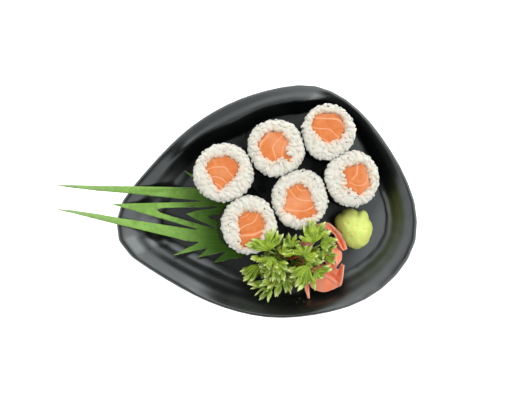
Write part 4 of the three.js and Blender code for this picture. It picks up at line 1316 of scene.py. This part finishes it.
def stem(bm, layers, start, end, thickness):
    """A thin stem from one point to another, bending up."""
    bend = start.lerp(end, 0.5) - Z_UP * 1.5 * MM
    route = curve_through([start, bend, end], 5)

    def place(turn, share, vert):
        spot = route[round(share * (len(route) - 1))]
        ahead = (end - start).normalized()
        side = ahead.cross(Z_UP) if abs(ahead.z) < 0.99 else Vector((1, 0, 0))
        side.normalize()
        vert[layers[1]] = 0.35
        return spot + round_line(ahead, side, turn) * thickness * (1.2 - 0.5 * share)
    grid_skin(bm, 6, len(route) - 1, place)


def parsley_piece(given, material):
    randoms = random.Random(12)
    leaves = bmesh.new()
    layers = masks(leaves, "tip", "vein", "deep")
    middle = seen(PARSLEY_MIDDLE, 20)
    feet = []
    for seed, (foot_pixel, height, lobe_pixels) in enumerate(PARSLEY_LEAVES):
        foot = seen(foot_pixel, height)
        lobes = [seen(pixel, height) for pixel in lobe_pixels]
        cup = randoms.uniform(0.5, 3.5)
        # The lower a leaf, the more painted shade it gets
        parsley_leaf(leaves, layers, foot, lobes, seed, 0.3 * (36 - height) / 16, cup)
        feet.append(foot)
    for k in range(INNER_LEAVES):
        angle = randoms.uniform(0, FULL_TURN)
        out = randoms.uniform(0.35, 1)
        height = randoms.uniform(14, 29) - 4 * out
        x = INNER_MIDDLE[0] + INNER_REACH[0] * out * math.cos(angle)
        y = INNER_MIDDLE[1] + INNER_REACH[1] * out * math.sin(angle)
        foot = seen((x, y), height)
        facing = math.atan2(foot.y - middle.y, foot.x - middle.x) + randoms.uniform(-0.8, 0.8)
        reach = randoms.uniform(4, 6.5) * MM
        lobes = [foot + around(facing + (i - 1) * 0.6) * reach for i in range(3)]
        # Inner leaves get painted shade at random
        parsley_leaf(leaves, layers, foot, lobes, 40 + k, randoms.uniform(0.1, 0.6), 1.5)
        feet.append(foot)
    bmesh.ops.remove_doubles(leaves, verts=leaves.verts, dist=2e-6)
    for face in leaves.faces:
        if face.normal.z < 0:
            face.normal_flip()
    made = piece(leaves, "parsley_leaves", [material], ["parsley"])
    thicken(made, given.thickness, 0)
    stems = bmesh.new()
    layers = masks(stems, "tip", "vein", "deep")
    for foot in feet:
        root = middle + (foot - middle) * 0.25
        root.z = 11 * MM
        stem(stems, layers, root, foot + Z_UP * 0.2 * MM, 0.55 * MM)
    close_up(stems)
    piece(stems, "parsley_stems", [material])


# Ginger
def ginger_piece(index, given, material):
    """One slice: a thin sheet over what lies below it, ruffled and creased, with paler rims."""
    drawn = GINGER_SLICES[index]
    node = drawn["node"]
    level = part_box(node)[1].z / MM - 2
    tree = surface(node)
    long_side, short_side = 80, 18
    edges = []
    for pixels in drawn["edges"]:
        curve = curve_through([seen(pixel, level) for pixel in pixels], 40)
        edges.append([curve[round(k / long_side * (len(curve) - 1))] for k in range(long_side + 1)])
    creases = []
    for rise, half_width, pixels in drawn["creases"]:
        line = curve_through([seen(pixel, level) for pixel in pixels], 16)
        creases.append((rise, half_width * MM, finder_along(line)))
    bm = bmesh.new()
    rim, deep = masks(bm, "rim", "deep")

    def place(turn, share, vert):
        k = round(turn / FULL_TURN * long_side)
        point = edges[0][k].lerp(edges[1][k], share)
        hit = tree.ray_cast(Vector((point.x, point.y, ABOVE_ALL)), -Z_UP)[0]
        point.z = (hit or tree.find_nearest(point)[0]).z
        inside = min(share, 1 - share) * (edges[0][k] - edges[1][k]).length
        vert[rim] = 0.8 * (1 - step(0, 1.1 * MM, inside))
        vert[deep] = 0.3 * step(0.1, 0.6, rough(point, 130, index + 4))
        return point

    grid_skin(bm, long_side, short_side, place)
    smooth(bm, 8, use_axis_z=True)
    for vert in bm.verts:
        vert.co.z += 0.4 * MM * rough((vert.co.x, vert.co.y, 0), 200, index)
        for rise, half_width, finder in creases:
            away = finder.find((vert.co.x, vert.co.y, 0))[2] / half_width
            near = math.exp(-away * away)
            vert.co.z += rise * near * MM
            # Raised creases get the pale rim colour as painted highlight, sunk ones the deep colour as
            # painted shade
            layer, most = (rim, 0.55) if rise > 0 else (deep, 1)
            vert[layer] = max(vert[layer], most * near)
    face_up(bm)
    made = piece(bm, f"ginger_slice_{index + 1}", [material], [node])
    thicken(made, given.thickness, -1)
    soften(made, 1)


def ginger_strand(given, material):
    """A thin curl of ginger that lies in the hollow of the parsley."""
    route = curve_through([seen(pixel, height - 2.5) for pixel, height in GINGER_STRAND], 8)
    bm = bmesh.new()

    def place(turn, share, vert):
        spot = share * (len(route) - 1)
        low = min(int(spot), len(route) - 2)
        ahead = (route[low + 1] - route[low]).normalized()
        side = ahead.cross(Z_UP).normalized()
        thick = given.thickness * (0.2 + 0.35 * math.sqrt(max(0, math.sin(math.pi * share))))
        return route[low].lerp(route[low + 1], spot - low) + round_line(ahead, side, turn) * thick

    grid_skin(bm, 8, 48, place)
    close_up(bm)
    bmesh.ops.holes_fill(bm, edges=[edge for edge in bm.edges if edge.is_boundary], sides=0)
    bmesh.ops.recalc_face_normals(bm, faces=bm.faces)
    piece(bm, "ginger_strand", [material])


# Wasabi
def wasabi_piece(material):
    """A ball of paste: lumpy, dented and pitted."""
    bm = copy_of("wasabi")
    bmesh.ops.join_triangles(bm, faces=bm.faces, angle_face_threshold=0.7, angle_shape_threshold=0.9)
    bmesh.ops.subdivide_edges(bm, edges=bm.edges, cuts=5, use_grid_fill=True)
    smooth(bm, 10, use_axis_x=True, use_axis_y=True, use_axis_z=True)
    pit = bm.verts.layers.float.new("pit")
    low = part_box("wasabi")[0]
    dents = [(seen(pixel, WASABI_HEIGHT), depth, half_width * MM)
             for pixel, depth, half_width in WASABI_DENTS]
    bm.normal_update()
    moves = []
    for vert in bm.verts:
        lumps = 0.9 * rough(vert.co, 120, 1) + 0.4 * rough(vert.co, 280, 2)
        hole = step(0.42, 0.62, rough(vert.co, 380, 3))
        fine = 0.1 * rough(vert.co, 1200, 4)
        dent = 0
        for spot, depth, half_width in dents:
            away = (vert.co - spot).to_2d().length / half_width
            dent += depth * math.exp(-away * away)
        moves.append(vert.normal * (1.2 + lumps + fine - 0.35 * hole - dent) * MM)
        # Painted shade: darker at the foot and on the left side, in the dents and in the pits
        under = 1 - step(low.z + 2 * MM, low.z + 10 * MM, vert.co.z)
        left = 1 - step(low.x + 1 * MM, low.x + 8 * MM, vert.co.x)
        vert[pit] = min(1, 0.45 * hole + 0.4 * under + 0.45 * left + 0.3 * min(dent, 1))
    for vert, move in zip(bm.verts, moves):
        vert.co += move
        vert.co.z = max(vert.co.z, low.z)
    piece(bm, "wasabi_ball", [material], ["wasabi"])


# Operators
class MAKI_OT_dish(bpy.types.Operator):
    """Makes the black rippled dish"""
    bl_idname = "maki.dish"
    bl_label = "Dish"

    def execute(self, context):
        dish_piece(context.scene.maki_dish)
        beads_piece(surface("plate"))
        return {"FINISHED"}


class MAKI_OT_rolls(bpy.types.Operator):
    """Makes the six rolls: wraps, rice, fillings and crumbs"""
    bl_idname = "maki.rolls"
    bl_label = "Rolls"

    def execute(self, context):
        values = context.scene.maki_rolls
        rolls = [Roll(index) for index in range(len(ROLLS))]
        nori, rice, salmon = nori_finish(values), rice_finish(values), salmon_finish(values)
        for roll in rolls:
            nori_piece(roll, nori)
            rice_piece(roll, values, rice)
            salmon_piece(roll, salmon)
        crumbs_piece(rolls, nori)
        return {"FINISHED"}


class MAKI_OT_leaf(bpy.types.Operator):
    """Makes the fold-cut leaf"""
    bl_idname = "maki.leaf"
    bl_label = "Leaf"

    def execute(self, context):
        values = context.scene.maki_leaf
        leaf_piece(values, [leaf_finish(values), leaf_edge_finish(values)])
        return {"FINISHED"}


class MAKI_OT_parsley(bpy.types.Operator):
    """Makes the bunch of parsley"""
    bl_idname = "maki.parsley"
    bl_label = "Parsley"

    def execute(self, context):
        values = context.scene.maki_parsley
        parsley_piece(values, parsley_finish(values))
        return {"FINISHED"}


class MAKI_OT_ginger(bpy.types.Operator):
    """Makes the slices of pickled ginger"""
    bl_idname = "maki.ginger"
    bl_label = "Ginger"

    def execute(self, context):
        values = context.scene.maki_ginger
        material = ginger_finish(values)
        for index in range(len(GINGER_SLICES)):
            ginger_piece(index, values, material)
        ginger_strand(values, curl_finish(values))
        return {"FINISHED"}


class MAKI_OT_wasabi(bpy.types.Operator):
    """Makes the ball of wasabi"""
    bl_idname = "maki.wasabi"
    bl_label = "Wasabi"

    def execute(self, context):
        wasabi_piece(wasabi_finish(context.scene.maki_wasabi))
        return {"FINISHED"}


class MAKI_OT_stage(bpy.types.Operator):
    """Makes the floor, the light and the camera"""
    bl_idname = "maki.stage"
    bl_label = "Stage"

    def execute(self, context):
        values = context.scene.maki_stage
        scene = context.scene
        bm = bmesh.new()
        bmesh.ops.create_grid(bm, x_segments=1, y_segments=1, size=FLOOR_HALF)
        mesh = bpy.data.meshes.new("studio_floor")
        bm.to_mesh(mesh)
        bm.free()
        mesh.materials.append(floor_finish(values))
        floor = bpy.data.objects.new("studio_floor", mesh)
        scene.collection.objects.link(floor)
        sky_light(scene, values)
        key_light(scene, values)
        lens = bpy.data.cameras.new("camera")
        lens.sensor_width = SENSOR_WIDTH
        lens.lens = FOCAL_PIXELS / PHOTO_WIDTH * SENSOR_WIDTH
        camera = bpy.data.objects.new("camera", lens)
        camera.location = CAMERA_PLACE
        scene.collection.objects.link(camera)
        scene.camera = camera
        scene.view_settings.view_transform = "Standard"
        return {"FINISHED"}


def sky_light(scene, values):
    """Soft light all round, with a dark band overhead that runs to the near side."""
    world = bpy.data.worlds.new("studio")
    scene.world = world
    world.use_nodes = True
    tree = Tree(world.node_tree)
    direction = tree.add("TexCoord").outputs["Generated"]
    parts = tree.add("SeparateXYZ", {"Vector": direction}).outputs
    ramp = tree.add("ValToRGB", {"Fac": parts["Z"]})
    rightward = tree.add("MapRange", {"Value": parts["X"], "From Min": -1.0, "From Max": 1.0,
                                      "To Min": SKY_LEFT * values.sky, "To Max": SKY_RIGHT * values.sky})
    aside = tree.span(tree.reckon(parts["X"], "ABSOLUTE", 0.0), *BAND_SIDES)
    beyond = tree.span(parts["Y"], *BAND_FAR_END)
    clear = tree.span(tree.reckon(aside, "MAXIMUM", beyond), 0.0, 1.0, BAND_LEVEL, 1.0)
    nearer = tree.times(tree.span(parts["Y"], -0.75, 0.15, 0.7, 1.0), clear)
    strength = tree.times(rightward.outputs["Result"], nearer)
    stops = ramp.color_ramp.elements
    for position, level in SKY_LEVELS[1:-1]:
        stops.new(position)
    for stop, (position, level) in zip(stops, SKY_LEVELS):
        stop.position = position
        stop.color = (level, level, level, 1)
    background = world.node_tree.nodes["Background"]
    world.node_tree.links.new(ramp.outputs["Color"], background.inputs["Color"])
    world.node_tree.links.new(strength, background.inputs["Strength"])


def key_light(scene, values):
    """One large soft light from the upper right."""
    lamp = bpy.data.lights.new("key", "AREA")
    lamp.shape = "DISK"
    lamp.size = LAMP_SIZE
    lamp.energy = values.key_power
    light = bpy.data.objects.new("key", lamp)
    light.location = LAMP_PLACE
    light.rotation_euler = (-LAMP_PLACE).to_track_quat("-Z", "Y").to_euler()
    scene.collection.objects.link(light)


class MAKI_PT_panel(bpy.types.Panel):
    bl_idname = "MAKI_PT_panel"
    bl_label = "Plate of maki"
    bl_space_type = "VIEW_3D"
    bl_region_type = "UI"
    bl_category = "Maki"

    def draw(self, context):
        for name in GROUPS:
            self.layout.operator(name.replace("_", "."))
            values = getattr(context.scene, name)
            for key in values.bl_rna.properties.keys():
                if key not in {"rna_type", "name"}:
                    self.layout.prop(values, key)


GROUPS = {
    "maki_stage": MakiStage, "maki_dish": MakiDish, "maki_rolls": MakiRolls, "maki_leaf": MakiLeaf,
    "maki_ginger": MakiGinger, "maki_wasabi": MakiWasabi, "maki_parsley": MakiParsley,
}
OPERATORS = (MAKI_OT_stage, MAKI_OT_dish, MAKI_OT_rolls, MAKI_OT_leaf, MAKI_OT_ginger, MAKI_OT_wasabi,
             MAKI_OT_parsley)


def register():
    for made in (*GROUPS.values(), *OPERATORS, MAKI_PT_panel):
        bpy.utils.register_class(made)
    for name, group in GROUPS.items():
        setattr(bpy.types.Scene, name, bpy.props.PointerProperty(type=group))


def unregister():
    for name in GROUPS:
        delattr(bpy.types.Scene, name)
    for made in (MAKI_PT_panel, *reversed(OPERATORS), *reversed(list(GROUPS.values()))):
        bpy.utils.unregister_class(made)


def main():
    register()
    bpy.ops.maki.stage()
    bpy.ops.maki.dish()
    bpy.ops.maki.rolls()
    bpy.ops.maki.leaf()
    bpy.ops.maki.ginger()
    bpy.ops.maki.wasabi()
    bpy.ops.maki.parsley()


if __name__ == "__main__":
    main()
